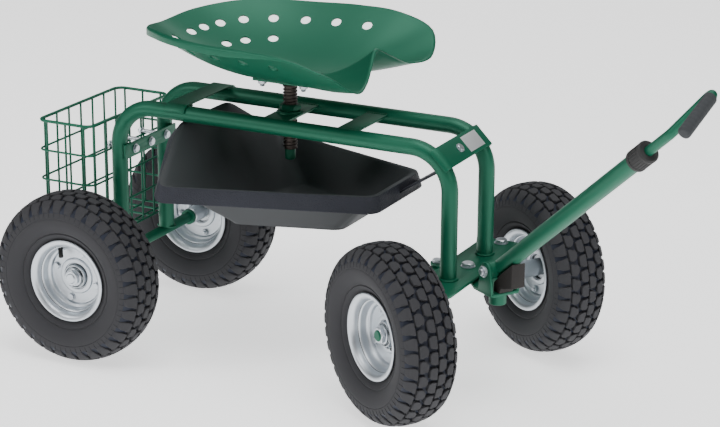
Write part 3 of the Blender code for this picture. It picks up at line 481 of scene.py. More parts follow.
def uneven_gloss_effect():
    """Roughness that wanders between two values."""
    inputs = [("Smooth", "NodeSocketFloat"), ("Dull", "NodeSocketFloat"), ("Patch Scale", "NodeSocketFloat")]
    group, given = new_effect("Uneven gloss", inputs, [("Roughness", "NodeSocketFloat")])
    rough = wander(group, given["Patch Scale"], 3.0, given["Smooth"], given["Dull"])
    add_node(group, "NodeGroupOutput", {"Roughness": rough})


def grain_effect():
    """The height of a fine grain: noise, with rounded pebbles mixed in by their share."""
    inputs = [("Grain Scale", "NodeSocketFloat"), ("Pebble Share", "NodeSocketFloat")]
    group, given = new_effect("Grain", inputs, [("Height", "NodeSocketFloat")])
    where = add_node(group, "ShaderNodeTexCoord")
    spread = {"Vector": where.outputs["Object"], "Scale": given["Grain Scale"]}
    noise = add_node(group, "ShaderNodeTexNoise", {**spread, "Detail": 3.0})
    pebbles = add_node(group, "ShaderNodeTexVoronoi", spread, feature="SMOOTH_F1")
    mixed = add_node(group, "ShaderNodeMix", {"Factor": given["Pebble Share"]}, data_type="FLOAT")
    group.links.new(noise.outputs[0], mixed.inputs["A"])
    group.links.new(pebbles.outputs["Distance"], mixed.inputs["B"])
    add_node(group, "NodeGroupOutput", {"Height": mixed.outputs["Result"]})


def new_finish(name, colour, rough, drift=(8.0, 0.06), patches=20.0, grain=(900.0, 0.0), depth=0.1, **fixed):
    """A finish: drifting colour, uneven gloss between two roughnesses, and a fine grain."""
    material = bpy.data.materials.new(name)
    material.use_nodes = True
    group = material.node_tree
    shader = group.nodes["Principled BSDF"]
    for label, value in fixed.items():
        shader.inputs[label.replace("_", " ")].default_value = value

    def effect(tree_name, **values):
        placed = group.nodes.new("ShaderNodeGroup")
        placed.node_tree = bpy.data.node_groups[tree_name]
        for label, value in values.items():
            placed.inputs[label.replace("_", " ").title()].default_value = value
        return placed.outputs[0]

    tint = effect("Colour drift", colour=(*colour, 1.0), cloud_scale=drift[0], amount=drift[1])
    gloss = effect("Uneven gloss", smooth=rough[0], dull=rough[1], patch_scale=patches)
    height = effect("Grain", grain_scale=grain[0], pebble_share=grain[1])
    bump = add_node(group, "ShaderNodeBump", {"Height": height, "Strength": depth, "Distance": MILLI})
    group.links.new(tint, shader.inputs["Base Color"])
    group.links.new(gloss, shader.inputs["Roughness"])
    group.links.new(bump.outputs[0], shader.inputs["Normal"])
    material.diffuse_color = (*colour, 1.0)
    return material


def make_finishes(colours):
    colour_drift_effect()
    uneven_gloss_effect()
    grain_effect()
    paint, zinc, rubber = colours.powder_coat, colours.zinc, colours.rubber
    dull = {"Specular_IOR_Level": 0.15}
    gloss = {"Specular_IOR_Level": 0.24}
    new_finish(GREEN, paint, (0.10, 0.16), (6.0, 0.05), grain=(420.0, 0.0), depth=0.05, **gloss)
    new_finish(ZINC, zinc, (0.10, 0.26), (14.0, 0.12), 35.0, (120.0, 0.0), 0.10, Metallic=1.0)
    new_finish("bearing_steel", [0.55 * c for c in zinc], (0.22, 0.36), (60.0, 0.15), Metallic=1.0)
    new_finish("screw_steel", colours.screw_steel, (0.34, 0.52), (90.0, 0.30), 120.0, Metallic=0.85, depth=0.2)
    new_finish("tyre_rubber", rubber, (0.34, 0.50), (18.0, 0.12), 60.0, (1400.0, 0.3), 0.25, **dull)
    # painted light: the carcass between the tread blocks takes a lighter, bluish copy of the rubber, set against the
    # shade that falls between the blocks
    groove_painted_lighter = [4.0 * rubber[0], 4.4 * rubber[1], 5.0 * rubber[2]]
    new_finish("painted_light_groove_rubber", groove_painted_lighter, (0.30, 0.46), (40.0, 0.20), 60.0, (1400.0, 0.3), 0.25, **dull)
    new_finish("valve_rubber", [0.6 * c for c in rubber], (0.45, 0.6), grain=(1500.0, 0.2), depth=0.2, **dull)
    new_finish("bumper_rubber", colours.bumper, (0.50, 0.65), (25.0, 0.12), grain=(1200.0, 0.3), depth=0.3, **dull)
    new_finish("black_plastic", [0.008, 0.008, 0.009], (0.35, 0.45), grain=(1300.0, 0.3), depth=0.15, **dull)
    new_finish("grip_foam", colours.foam, (0.75, 0.9), (60.0, 0.15), grain=(1700.0, 0.8), depth=0.5, **dull)
    tray = colours.tray
    new_finish("tray_plastic", tray, (0.32, 0.44), (7.0, 0.08), 18.0, (1100.0, 0.3), 0.10, **dull)
    skirt = [3.8 * tray[0], 3.9 * tray[1], 4.2 * tray[2]]
    new_finish("pebbled_tray_plastic", skirt, (0.40, 0.52), (10.0, 0.10), 40.0, (620.0, 0.85), 0.75, **dull)
    new_finish("silver_label", [0.80, 0.82, 0.83], (0.28, 0.38), (30.0, 0.04), Metallic=0.55)
    new_finish("shadow_gap", [0.012, 0.012, 0.013], (0.6, 0.8), depth=0.05)


# ---------------------------------------------------------------- sizes and colours
def length_property(name, description, default):
    return FloatProperty(name=name, description=description, default=default, unit="LENGTH")


class CartSizes(bpy.types.PropertyGroup):
    """The sizes of the details that the frame leaves open"""

    tread_pitches: IntProperty(
        name="Tread Pitches",
        description="How often the tread's pattern repeats round a tyre",
        default=36,
        min=12,
    )
    lug_depth: length_property("Lug Depth", "Height of the tread blocks over the carcass", 0.0055)
    clamp_circle: length_property("Clamp Bolt Circle", "Radius on which the rim's clamp bolts stand", 0.036)
    wire: length_property("Basket Wire", "Radius of the basket's thin wires", 0.00165)
    border_wire: length_property("Border Wire", "Radius of the basket's border wires", 0.0024)
    seat_hole: length_property("Seat Hole", "Radius of the holes punched in the seat", 0.0078)
    seat_sheet: length_property("Seat Sheet", "Thickness of the seat's steel sheet", 0.0022)
    thread_pitch: length_property("Screw Pitch", "Pitch of the seat screw's thread", 0.005)


def colour_property(name, description, default):
    limits = {"subtype": "COLOR", "min": 0.0, "max": 1.0}
    return FloatVectorProperty(name=name, description=description, default=default, **limits)


class CartColours(bpy.types.PropertyGroup):
    """The colours of the finishes"""

    powder_coat: colour_property("Powder Coat", "Glossy paint on the steel parts", (0.0, 0.052, 0.028))
    zinc: colour_property("Zinc", "Bright plating on rims, bolts and nuts", (0.70, 0.75, 0.79))
    screw_steel: colour_property("Screw Steel", "Oiled steel of the seat screw", (0.075, 0.062, 0.055))
    rubber: colour_property("Rubber", "Tyres", (0.0060, 0.0063, 0.0082))
    bumper: colour_property("Bumper", "Rubber block under the handle", (0.030, 0.027, 0.026))
    foam: colour_property("Foam", "Sleeve on the grip", (0.011, 0.012, 0.014))
    tray: colour_property("Tray", "Moulded tool tray", (0.0095, 0.0098, 0.0114))


# ---------------------------------------------------------------- frame
def frame_path(side):
    y = side * TUBE_Y
    foot = AXLE.z + 0.0083
    corners = [(REAR_LEG_X, foot), (REAR_LEG_X, TUBE_TOP), (FRONT_LEG_X, TUBE_TOP), (FRONT_LEG_X, PLATE_TOP)]
    return [CART @ Vector((x, y, z)) for x, z in corners]


def weld_bead(mesh, place, radius, bead=0.0022, ripples=30, paint=0):
    """A rippled fillet of weld round a tube's foot, in the XY plane of a place."""
    rings = []
    for i in range(2 * ripples):
        angle = pi * i / ripples
        swell = bead * (1.0 + 0.16 * (i % 2) + 0.10 * sin(3.1 * angle))
        ring = []
        for k in range(7):
            turn = 2 * pi * k / 7
            reach = radius + swell * cos(turn)
            ring.append(place @ Vector((reach * cos(angle), reach * sin(angle), 0.8 * swell * sin(turn))))
        rings.append(ring)
    skin(mesh, rings, paint, loop=True)


def add_bent_tubes():
    """The two bent tubes, each with the weld beads at its feet."""
    for side, name in ((-1, "right"), (1, "left")):
        mesh = bmesh.new()
        path = frame_path(side)
        absorb(mesh, swept([(path, False)], GREEN, TUBE_RADIUS, BEND_RADIUS, 40, 18))
        weld_bead(mesh, Matrix.Translation(path[-1] + UP * 0.0012), TUBE_RADIUS)
        for lean in (-1, 1):
            seat = path[0] + Vector((0.0075 * lean, 0, 0.0005))
            weld_bead(mesh, Matrix.Translation(seat), 0.0065, 0.0020, 14)
        painted(f"{name}_bent_tube", mesh, "frame", [f"frame_tube_{name}"])


def add_axle_bar():
    """The rear axle: painted between the wheels, bare and chamfered at its ends."""
    half = (TO_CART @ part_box("rear_axle")[1]).y
    place = CART @ Matrix.Translation((0, 0, AXLE.z)) @ ALONG_Y
    shoulder = 0.1415
    thick, thin = 0.0120, 0.0080
    mesh = bmesh.new()
    profile = [(thin, -shoulder), (thick, -shoulder), (thick, 0.006 - shoulder), (thin, 0.006 - shoulder)]
    profile += [(r, -h) for r, h in reversed(profile)]
    lathe(mesh, profile, place, 36)
    for side in (-1, 1):
        stub = [(thin, side * shoulder), (thin, side * (half - 0.0015)), (thin - 0.0015, side * half)]
        lathe(mesh, stub, place, 36, 1)
    piece("rear_axle_bar", mesh, [GREEN, ZINC], "frame", ["rear_axle"])


def eased_copy(node, name, body, finish, width=0.0007):
    """A frame part with its edges eased, so that they catch the light."""
    mesh = bmesh.new()
    mesh.from_mesh(frame["nodes"][node].data)
    bmesh.ops.remove_doubles(mesh, verts=mesh.verts, dist=1e-5)
    limit = radians(1)
    bmesh.ops.dissolve_limit(mesh, angle_limit=limit, verts=mesh.verts, edges=mesh.edges)
    bmesh.ops.recalc_face_normals(mesh, faces=mesh.faces)
    edges = [edge for edge in mesh.edges if edge.calc_face_angle(0) > radians(50)]
    bmesh.ops.bevel(mesh, geom=edges, offset=width, segments=2, profile=0.6, affect="EDGES", clamp_overlap=True)
    return piece(name, mesh, [finish], body, [node])


def strap_mesh(mesh, place, hook_angle, width, sheet=STRAP_SHEET):
    """A strap over both tubes whose ends hook down round them. X runs across its width."""
    inner = TUBE_RADIUS + FIT
    under = arc((TUBE_Y, 0.0), inner, pi / 2, pi / 2 - hook_angle, 14)
    over = arc((TUBE_Y, 0.0), inner + sheet, pi / 2 - hook_angle, pi / 2, 14)
    outline = [(-y, z) for y, z in reversed(under)] + under + over + [(-y, z) for y, z in reversed(over)]
    part = bmesh.new()
    skin(part, [[Vector((x, y, z)) for y, z in outline] for x in (-width / 2, width / 2)])
    bmesh.ops.recalc_face_normals(part, faces=part.faces)
    take(mesh, rounded(part, 0.0006, 2, radians(45)), place)


FRONT_BEND = (
    CART
    @ Matrix.Translation(
        (
            FRONT_LEG_X - BEND_RADIUS * (1 - sin(pi / 4)),
            0,
            TUBE_TOP - BEND_RADIUS * (1 - sin(pi / 4)),
        )
    )
    @ Matrix.Rotation(pi / 4, 4, "Y")
)


def add_straps():
    """The strap over the long straight run and the plate over both front bends, with its blank label."""
    strap = bmesh.new()
    strap_mesh(strap, CART @ Matrix.Translation((0.110, 0, TUBE_TOP)), radians(75), 0.034)
    for x in (0.0935, 0.1265):
        for side in (-1, 1):
            at = (x, side * (TUBE_Y - TUBE_RADIUS * 0.5), TUBE_TOP + TUBE_RADIUS - 0.001)
            place = CART @ Matrix.Translation(at)
            weld_bead(strap, place @ Matrix.Scale(0.35, 4, Vector((1, 0, 0))), 0.0055, 0.0016, 12)
    painted("rear_strap", strap, "frame", ["rear_cross_strap"])
    clip = bmesh.new()
    strap_mesh(clip, FRONT_BEND @ Matrix.Translation((0, 0, FRONT_BEND_RAISE)), radians(70), 0.036)
    painted("front_bend_plate", clip, "frame", ["front_clip_plate"])
    top = TUBE_RADIUS + FRONT_BEND_RAISE + FIT + STRAP_SHEET
    label = bmesh.new()
    outline = [(-0.0130, 0.0020), (0.0130, 0.0020), (0.0130, 0.0500), (-0.0130, 0.0500)]
    take(label, slab(outline, top, top + 0.0004, 0.0001), FRONT_BEND)
    piece("blank_label", label, ["silver_label"], "frame")


def add_cross_plates():
    """The plates between the long tubes, the bar for the basket and the welds along them."""
    for node, name in (("seat_cross_plate", "seat_post_plate"), ("front_cross_plate", "front_tie_plate")):
        eased_copy(node, name, "frame", GREEN)
    eased_copy("rear_bracket_bar", "basket_bar", "frame", GREEN)
    eased_copy("front_axle_plate", "front_axle_beam", "frame", GREEN, 0.0009)
    mesh = bmesh.new()
    drop = [(0.0004, -0.0012), (0.0021, -0.0004), (0.0019, 0.0007), (0.0004, 0.0013)]
    for node in ("seat_cross_plate", "front_cross_plate"):
        low, high = (TO_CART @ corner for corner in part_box(node))
        for side in (-1, 1):
            for x in range(9):
                at = low.x + (high.x - low.x) * (x + 0.5) / 9
                inside = side * (TUBE_Y - TUBE_RADIUS - 0.0004)
                place = CART @ Matrix.Translation((at, inside, high.z + 0.0002))
                lathe(mesh, drop, place, 10)
    painted("plate_welds", mesh, "frame")


def add_frame_bolts():
    """The bolts through the front axle beam, the basket bar and the front bend plate."""
    mesh = bmesh.new()
    head = PLATE_TOP + FIT
    place = Matrix.Translation((STEERING.translation.x, STEERING.translation.y, 0))
    add_bolt(mesh, place @ Matrix.Rotation(0.3, 4, "Z"), BOLT_RADIUS, 0.0095, ARM_LOW - 0.0015, head)
    for side, turn in (("left", 0.1), ("right", 0.6)):
        place = Matrix.Translation(knuckle_place(side).translation) @ Matrix.Rotation(turn, 4, "Z")
        add_bolt(mesh, place, BOLT_RADIUS, 0.0095, KNUCKLE_LOW - 0.0015, head)
    for name in ("right", "middle", "left"):
        low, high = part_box(f"basket_bolt_{name}")
        centre = (low + high) / 2
        place = aimed((0, centre.y, centre.z), (1, 0, 0))
        add_bolt(mesh, place, SMALL_BOLT, SMALL_HEAD, low.x + 0.0070, high.x - 0.0040, 0.0040)
    under = TUBE_RADIUS + FRONT_BEND_RAISE
    place = FRONT_BEND @ Matrix.Translation((0, -0.018, 0))
    add_bolt(mesh, place, SMALL_BOLT, SMALL_HEAD, under - 0.0033, under + 0.0027 + FIT, 0.0035)
    nodes = ["kingpin_left", "kingpin_right", "steering_pivot_bolt", "tray_front_bolt"]
    nodes += ["basket_bolt_left", "basket_bolt_middle", "basket_bolt_right"]
    plated("frame_bolts", mesh, "frame", nodes)


# ---------------------------------------------------------------- basket
def add_basket():
    """The basket: closed rings of wire round it, and U-shaped wires down, across and up again."""
    sizes = bpy.context.scene.cart_sizes
    low, high = (TO_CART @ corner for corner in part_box("wire_basket"))
    thin, thick = sizes.wire, sizes.border_wire

    def ring(inset, z):
        corners = [(low.x, low.y), (high.x, low.y), (high.x, high.y), (low.x, high.y)]
        middle_x, middle_y = (low.x + high.x) / 2, (low.y + high.y) / 2
        points = []
        for x, y in corners:
            x += inset if x < middle_x else -inset
            y += inset if y < middle_y else -inset
            points.append(CART @ Vector((x, y, z)))
        return points, True

    rings = 5
    step = (high.z - low.z - 0.009) / (rings - 1)
    levels = [high.z - thick - i * step for i in range(rings)]
    mesh = bmesh.new()
    absorb(mesh, swept([ring(thick, levels[0])], GREEN, thick, 0.014, 12))
    absorb(mesh, swept([ring(thin + 0.0002, z) for z in levels[1:]], GREEN, thin, 0.013, 10))
    inside = 2 * thin + 0.0004 + thin * 0.9
    floor = low.z + thin
    uprights = []
    columns = 7
    spacing = (high.y - low.y) / columns
    for i in range(columns):
        y = low.y + (i + 0.5) * spacing
        a, b = low.x + inside, high.x - inside
        points = [(a, y, levels[0]), (a, y, floor), (b, y, floor), (b, y, levels[0])]
        uprights.append(([CART @ Vector(point) for point in points], False))
    columns = 3
    spacing = (high.x - low.x) / columns
    for i in range(columns):
        x = low.x + (i + 0.5) * spacing
        a, b = low.y + inside, high.y - inside
        points = [(x, a, levels[0]), (x, a, floor + 2 * thin), (x, b, floor + 2 * thin), (x, b, levels[0])]
        uprights.append(([CART @ Vector(point) for point in points], False))
    absorb(mesh, swept(uprights, GREEN, thin, 0.008, 10))
    painted("basket_wires", mesh, "frame", ["wire_basket"], 60)


# ---------------------------------------------------------------- tool tray
def round_corners(points, radius, steps):
    """Bends each corner of a closed loop in space to a smooth round one."""
    made = []
    for i, corner in enumerate(points):
        before, after = points[i - 1] - corner, points[(i + 1) % len(points)] - corner
        start = corner + before.normalized() * min(radius, 0.45 * before.length)
        end = corner + after.normalized() * min(radius, 0.45 * after.length)
        for k in range(steps + 1):
            t = k / steps
            made.append(start * (1 - t) ** 2 + corner * (2 * t * (1 - t)) + end * t * t)
    return made


def add_tray():
    """A moulded tub, wide at the rear, whose rear wall runs up under the tubes, with a pebbled skirt."""
    front = (0.4400, 0.0760, 0.2860)
    rear = (0.1380, 0.1750, 0.2860)
    top = TUBE_TOP - TUBE_RADIUS - 0.0013
    outer_rim = [front, rear, (0.1135, 0.0735, top)]
    floor_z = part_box("tool_tray")[0].z
    sheet = 0.0030
    inset = 0.0080

    def moved(points, dx, dy, dz):
        signs = (1, -1, -1)
        return [(x + s * dx, y + dy, z + dz) for s, (x, y, z) in zip(signs, points)]

    def between(a, b, share, drop=0.0):
        lowered = (0, 0, drop)
        return [tuple(p + (q - p) * share - d for p, q, d in zip(u, v, lowered)) for u, v in zip(a, b)]

    inner_rim = moved(outer_rim, -inset, -0.8 * inset, 0.0)
    skirt_low = moved(outer_rim, 0.004, 0.006, -0.024)
    skirt_low[2] = (0.1015, 0.0785, top - 0.018)
    floor = [(0.377, 0.058, floor_z), (0.222, 0.105, floor_z), (0.212, 0.045, floor_z)]
    inner_floor = moved(floor, 0.0, 0.0, sheet)
    loops = [  # the loop of three corners, and how far its corners are rounded
        (between(inner_floor, moved(inner_floor, -0.03, -0.02, 0.0), 0.6), 0.010),
        (moved(inner_floor, -0.004, -0.004, 0.0), 0.016),
        (between(inner_floor, inner_rim, 0.010, 0.0000), 0.020),
        (between(inner_floor, inner_rim, 0.045, 0.0012), 0.022),
        (between(inner_floor, inner_rim, 0.10, 0.0012), 0.024),
        (between(inner_floor, inner_rim, 0.5, 0.0), 0.022),
        (between(inner_floor, inner_rim, 0.95, 0.0), 0.018),
        (between(inner_floor, inner_rim, 0.988, 0.0008), 0.017),
        (moved(inner_rim, 0.0016, 0.0016, -0.0003), 0.017),
        (moved(outer_rim, -0.0022, -0.0022, 0.0), 0.018),
        (moved(outer_rim, -0.0007, -0.0007, -0.0005), 0.018),
        (moved(outer_rim, 0.0, 0.0, -0.0022), 0.018),
        (between(outer_rim, skirt_low, 0.5), 0.018),
        (between(outer_rim, skirt_low, 0.96), 0.018),
        (moved(skirt_low, -0.0008, -0.0008, 0.0), 0.018),
        (moved(skirt_low, -sheet, -sheet, 0.0), 0.016),
        (moved(outer_rim, -sheet, -sheet, -sheet), 0.016),
        (moved(inner_rim, 0.6 * sheet, 0.6 * sheet, -sheet), 0.018),
        (between(floor, moved(inner_rim, 0.6 * sheet, 0.6 * sheet, -sheet), 0.05, 0.0010), 0.020),
        (moved(floor, 0.3 * sheet, 0.3 * sheet, 0.0), 0.016),
    ]
    rings = []
    for points, radius in loops:
        right = [Vector((x, -y, z)) for x, y, z in points]
        left = [Vector((x, y, z)) for x, y, z in reversed(points)]
        rings.append([CART @ point for point in round_corners(right + left, radius, 7)])
    mesh = bmesh.new()
    rows = skin(mesh, rings)
    skirt = set()
    for row in rows[10:15]:
        skirt.update(row)
    for face in mesh.faces:
        if all(vert in skirt for vert in face.verts):
            face.material_index = 1
    take(mesh, tray_tongue(sheet), CART, 1)
    finishes = ["tray_plastic", "pebbled_tray_plastic"]
    piece("moulded_tray", mesh, finishes, "frame", ["tool_tray"], 32)


def tray_tongue(sheet):
    """The strip from the tray's front skirt up to the underside of the front bend plate."""
    under = TUBE_RADIUS + FRONT_BEND_RAISE
    bend = TO_CART @ FRONT_BEND

    def on_bend(along, out):
        point = bend @ Vector((along, 0, out))
        return point.x, point.z

    lean = 0.6 * sheet
    knee, knee_inside = on_bend(0.016, under), on_bend(0.013, under - sheet)
    end, end_inside = on_bend(-0.012, under), on_bend(-0.012, under - sheet)
    start = (0.4340, 0.2660)
    before = (knee[0] - 0.032, knee[1] - 0.021)
    stations = [
        (start, (start[0] - lean, start[1] + sheet), 0.004, 0.062),
        (before, (before[0] - lean, before[1] + sheet), -0.040, 0.048),
        (knee, knee_inside, -0.045, 0.048),
        (end, end_inside, -0.045, 0.048),
    ]
    part = bmesh.new()
    rings = []
    for (x0, z0), (x1, z1), right, left in stations:
        rings.append([Vector(p) for p in ((x0, right, z0), (x0, left, z0), (x1, left, z1), (x1, right, z1))])
    skin(part, rings)
    bmesh.ops.recalc_face_normals(part, faces=part.faces)
    return rounded(part, 0.0007, 2, radians(12))


# ---------------------------------------------------------------- wheels
CARCASS = (  # distance from the tyre's middle plane, radius of the carcass, radius over the tread blocks
    (0.0000, 0.1232, 0.1286),
    (0.0080, 0.1231, 0.1286),
    (0.0215, 0.1209, 0.1260),
    (0.0310, 0.1167, 0.1218),
    (0.0370, 0.1122, 0.1158),
    (0.0408, 0.1066, 0.1096),
    (0.0422, 0.1010, 0.1018),
)
SIDEWALL = (  # radius and distance from the middle plane, from the tread down to the bead
    (0.1010, 0.0423),
    (0.0985, 0.0425),
    (0.0978, 0.0419),
    (0.0966, 0.0425),
    (0.0880, 0.0414),
    (0.0800, 0.0382),
    (0.0752, 0.0348),
    (0.0742, 0.0334),
    (0.0730, 0.0336),
    (0.0722, 0.0342),
    (0.0700, 0.0328),
    (0.0672, 0.0304),
    (0.0650, 0.0281),
    (0.0600, 0.0262),
    (0.0530, 0.0240),
)
CENTRE_LUG = ((0.9, 0.08, 0.86), (4.5, 0.08, 0.90), (8.5, 0.12, 0.90), (12.6, 0.22, 0.78))
MIDDLE_LUG = ((14.6, 0.34, 0.62), (17.0, 0.14, 0.80), (19.0, 0.20, 0.90), (23.0, 0.08, 0.92), (26.6, 0.10, 0.84))
SHOULDER_LUG = ((28.6, 0.06, 0.84), (31.5, 0.08, 0.90), (34.5, 0.14, 0.90), (38.0, 0.14, 0.84), (40.6, 0.22, 0.78))
# Each lug is (distance from the middle plane in millimetres, start, end in pitches); its offset is in pitches.
LUGS = ((0.00, CENTRE_LUG), (0.50, MIDDLE_LUG), (0.04, SHOULDER_LUG))


def tread_pitch(sizes):
    """One pitch of the tread: three blocks on each side, the left side half a pitch on."""
    pitch = 2 * pi / sizes.tread_pitches
    mesh = bmesh.new()

    def over(y, top):
        carcass = smooth_between(CARCASS, abs(y), 1)
        crest = smooth_between(CARCASS, abs(y), 2)
        reach = min((crest - carcass) / (CARCASS[0][2] - CARCASS[0][1]), 1.0)
        return carcass + reach * sizes.lug_depth if top else carcass - 0.0008

    def at(angle, y, top):
        radius = over(y, top)
        return Vector((radius * sin(angle), y, radius * cos(angle)))

    for side in (-1, 1):
        for offset, stations in LUGS:
            block = bmesh.new()
            rows = []
            for y, start, end in stations:
                y *= side * MILLI
                shift = offset + (0.5 if side < 0 else 0.0)
                a, b = ((shift + share) * pitch for share in (start, end))
                mid = (a + b) / 2
                corners = ((a, False), (a, True), (mid, True), (b, True), (b, False), (mid, False))
                rows.append([at(angle, y, top) for angle, top in corners])
            skin(block, rows)
            bmesh.ops.recalc_face_normals(block, faces=block.faces)
            rounded(block, 0.0007, 1, radians(45))
            take(mesh, block)
    for side in (-1, 1):  # low ribs where the shoulder blocks run out into the sidewall
        for k in range(2):
            angle = (0.25 + 0.5 * k) * pitch
            half = 0.0011
            section = ((-half, -0.0012), (-0.6 * half, 0.0006), (0.6 * half, 0.0006), (half, -0.0012))
            rib = bmesh.new()
            rings = []
            for radius, y in ((0.1085, 0.0403), (0.1040, 0.0416), (0.0996, 0.0421)):
                ring = []
                for across, lift in section:
                    turn = angle + across / radius
                    ring.append(Vector((radius * sin(turn), side * (y + lift), radius * cos(turn))))
                rings.append(ring)
            skin(rib, rings)
            take(mesh, rib)
    return mesh


def add_tyre(name, place, sizes):
    """The carcass with its ringed sidewalls, and the tread blocks round it."""
    crown = [(r, y) for y, r, _ in CARCASS]
    half = smooth_line(crown[::-1], 3)
    outside = smooth_line(list(SIDEWALL)[::-1], 2)[:-1]
    profile = outside + half
    profile += [(r, -y) for r, y in reversed(profile[:-1])]
    inside = [(0.0505, -0.0190), (0.0640, -0.0240), (0.0960, -0.0350), (0.1160, -0.0170), (0.1175, 0.0)]
    inside += [(r, -y) for r, y in reversed(inside[:-1])]
    turn = place @ ALONG_Y
    mesh = bmesh.new()
    rows = lathe(mesh, profile + inside, turn, 144, loop=True)
    # the carcass faces between the tread blocks, which take the lighter, bluish rubber as painted light against
    # their shade
    painted_light_verts = set()
    first = len(outside)
    for row in rows[first + 3 : len(profile) - first - 3]:
        painted_light_verts.update(row)
    for face in mesh.faces:
        if all(vert in painted_light_verts for vert in face.verts):
            face.material_index = 1
    tread = through_tree("Round the axle", tread_pitch(sizes), "tyre_rubber", count=sizes.tread_pitches)
    tread.transform(place)
    absorb(mesh, tread)
    body = f"wheel_{name}"
    finishes = ["tyre_rubber", "painted_light_groove_rubber"]
    piece(f"{name}_lugged_tyre", mesh, finishes, body, [f"tyre_{name}"], 32)


RIM_FACE = (  # radius and distance from the middle plane, from the lip in to the hub
    (0.0590, 0.0262),
    (0.0612, 0.0278),
    (0.0624, 0.0296),
    (0.0621, 0.0312),
    (0.0607, 0.0317),
    (0.0588, 0.0314),
    (0.0560, 0.0303),
    (0.0538, 0.0282),
    (0.0524, 0.0252),
    (0.0516, 0.0216),
    (0.0508, 0.0196),
    (0.0494, 0.0187),
    (0.0487, 0.0170),
    (0.0481, 0.0120),
    (0.0472, 0.0088),
    (0.0456, 0.0074),
    (0.0441, 0.0070),
    (0.0432, 0.0058),
    (0.0424, 0.0036),
    (0.0408, 0.0026),
    (0.0290, 0.0024),
    (0.0276, 0.0028),
    (0.0268, 0.0042),
    (0.0256, 0.0048),
    (0.0216, 0.0049),
    (0.0204, 0.0046),
    (0.0198, 0.0030),
    (0.0190, 0.0030),
)
RIM_BACK = (  # behind the face, from the hub out to the bead
    (0.0190, 0.0004),
    (0.0440, 0.0004),
    (0.0496, 0.0050),
    (0.0510, 0.0180),
    (0.0526, 0.0230),
    (0.0556, 0.0262),
)
HUB_FACE = (  # the hub tube and its bearing
    (0.0182, 0.0010),
    (0.0182, 0.0078),
    (0.0176, 0.0088),
    (0.0160, 0.0090),
    (0.0154, 0.0084),
    (0.0152, 0.0052),
    (0.0142, 0.0052),
    (0.0140, 0.0086),
    (0.0134, 0.0092),
    (0.0114, 0.0092),
    (0.0110, 0.0088),
    (0.0108, 0.0070),
    (0.0082, 0.0070),
    (0.0082, 0.0010),
)


def add_rim(name, place, sizes):
    """Both pressed halves of the split rim, the hub tube through them and the clamp bolts."""
    turn = place @ ALONG_Y
    mesh = bmesh.new()
    for side in (1, -1):
        face = [(r, side * y) for r, y in smooth_line(RIM_FACE, 3)]
        back = [(r, side * y) for r, y in RIM_BACK]
        lathe(mesh, face + back, turn, 96, loop=True)
    lathe(mesh, HUB_FACE, turn, 64, 1, loop=True)
    tube = [(0.0082, 0.0), (0.0130, 0.0), (0.0130, -0.0345), (0.0118, -0.0360), (0.0082, -0.0360)]
    lathe(mesh, tube, turn, 48, 0, loop=True)
    gap = [(0.0192, 0.0006), (0.0192, 0.0022), (0.0180, 0.0022), (0.0180, 0.0006)]
    lathe(mesh, gap, turn, 64, 2, loop=True)
    clamp = bmesh.new()
    spot = Matrix.Rotation(pi / 4, 4, "Y") @ Matrix.Translation((0, 0, sizes.clamp_circle))
    stand = spot @ ALONG_Y
    add_bolt(clamp, stand, SMALL_BOLT, 0.0054, -0.0027, 0.0025, 0.0038)
    absorb(mesh, placed_ring(clamp, 4, ZINC, place))
    body = f"wheel_{name}"
    nodes = [f"rim_outer_{name}", f"rim_inner_{name}"]
    finishes = [ZINC, "bearing_steel", "shadow_gap"]
    piece(f"{name}_split_rim", mesh, finishes, body, nodes, 34)


def placed_ring(mesh, count, finish, place):
    """Repeats a shape round the Y axis of a place."""
    made = through_tree("Round the axle", mesh, finish, count=count)
    made.transform(place)
    return made


def add_valve(name, place):
    """A ribbed rubber valve that leans outward from the rim's band, with a bright foot."""
    base = Vector((0, 0.0082, 0.0512))
    lean = radians(30)
    out = aimed(base, (0, sin(lean), -cos(lean)))
    mesh = bmesh.new()
    profile = [(0.0030, -0.0020), (0.0036, 0.0)]
    for i in range(6):
        h = 0.0030 + 0.0019 * i
        profile += [(0.0033, h - 0.0005), (0.0036, h), (0.0036, h + 0.0006), (0.0030, h + 0.0009)]
    profile += [(0.0034, 0.0150), (0.0035, 0.0180), (0.0031, 0.0190), (0.0022, 0.0193)]
    lathe(mesh, profile, place @ out, 24)
    foot = [(0.0052, -0.0012), (0.0052, 0.0006), (0.0044, 0.0014), (0.0036, 0.0014), (0.0036, -0.0012)]
    lathe(mesh, foot, place @ out, 28, 1, loop=True)
    finishes = ["valve_rubber", ZINC]
    piece(f"{name}_valve", mesh, finishes, f"wheel_{name}", [f"valve_stem_{name}"])


def axle_nut_mesh(mesh, place, paint):
    """The flanged nut at an axle's end, outside the hub. Z of the place runs outward."""
    bore, across, start = 0.0082, 0.0125, HUB_OUTER + 0.0005
    top = start + 0.0020
    flange = [(bore, start), (0.0136, start), (0.0136, start + 0.0012), (across, top), (bore, top)]
    lathe(mesh, flange, place, 40, paint, loop=True)
    hexagon(mesh, across, top, start + 0.0080, place, paint)


def add_wheels():
    sizes = bpy.context.scene.cart_sizes
    for name in WHEELS:
        place = wheel_place(name)
        add_tyre(name, place, sizes)
        add_rim(name, place, sizes)
        add_valve(name, place)


def add_rear_axle_nuts():
    mesh = bmesh.new()
    for side in (-1, 1):
        name = "left" if side > 0 else "right"
        outward = wheel_place(f"rear_{name}") @ ALONG_Y
        axle_nut_mesh(mesh, outward, 0)
    plated("rear_axle_nuts", mesh, "frame", ["axle_nut_rear_left", "axle_nut_rear_right"])


# ---------------------------------------------------------------- steering
def sleeve_profile(bore, low, high, outer=0.0125, edge=0.0007):
    """The section of a short tube with eased outer edges."""
    eased = outer - edge
    profile = [(bore, low), (eased, low), (outer, low + edge), (outer, high - edge)]
    return profile + [(eased, high), (bore, high)]


def tie_pin(side):
    return (-TIE_RADIUS, side * TIE_HALF_GAP)


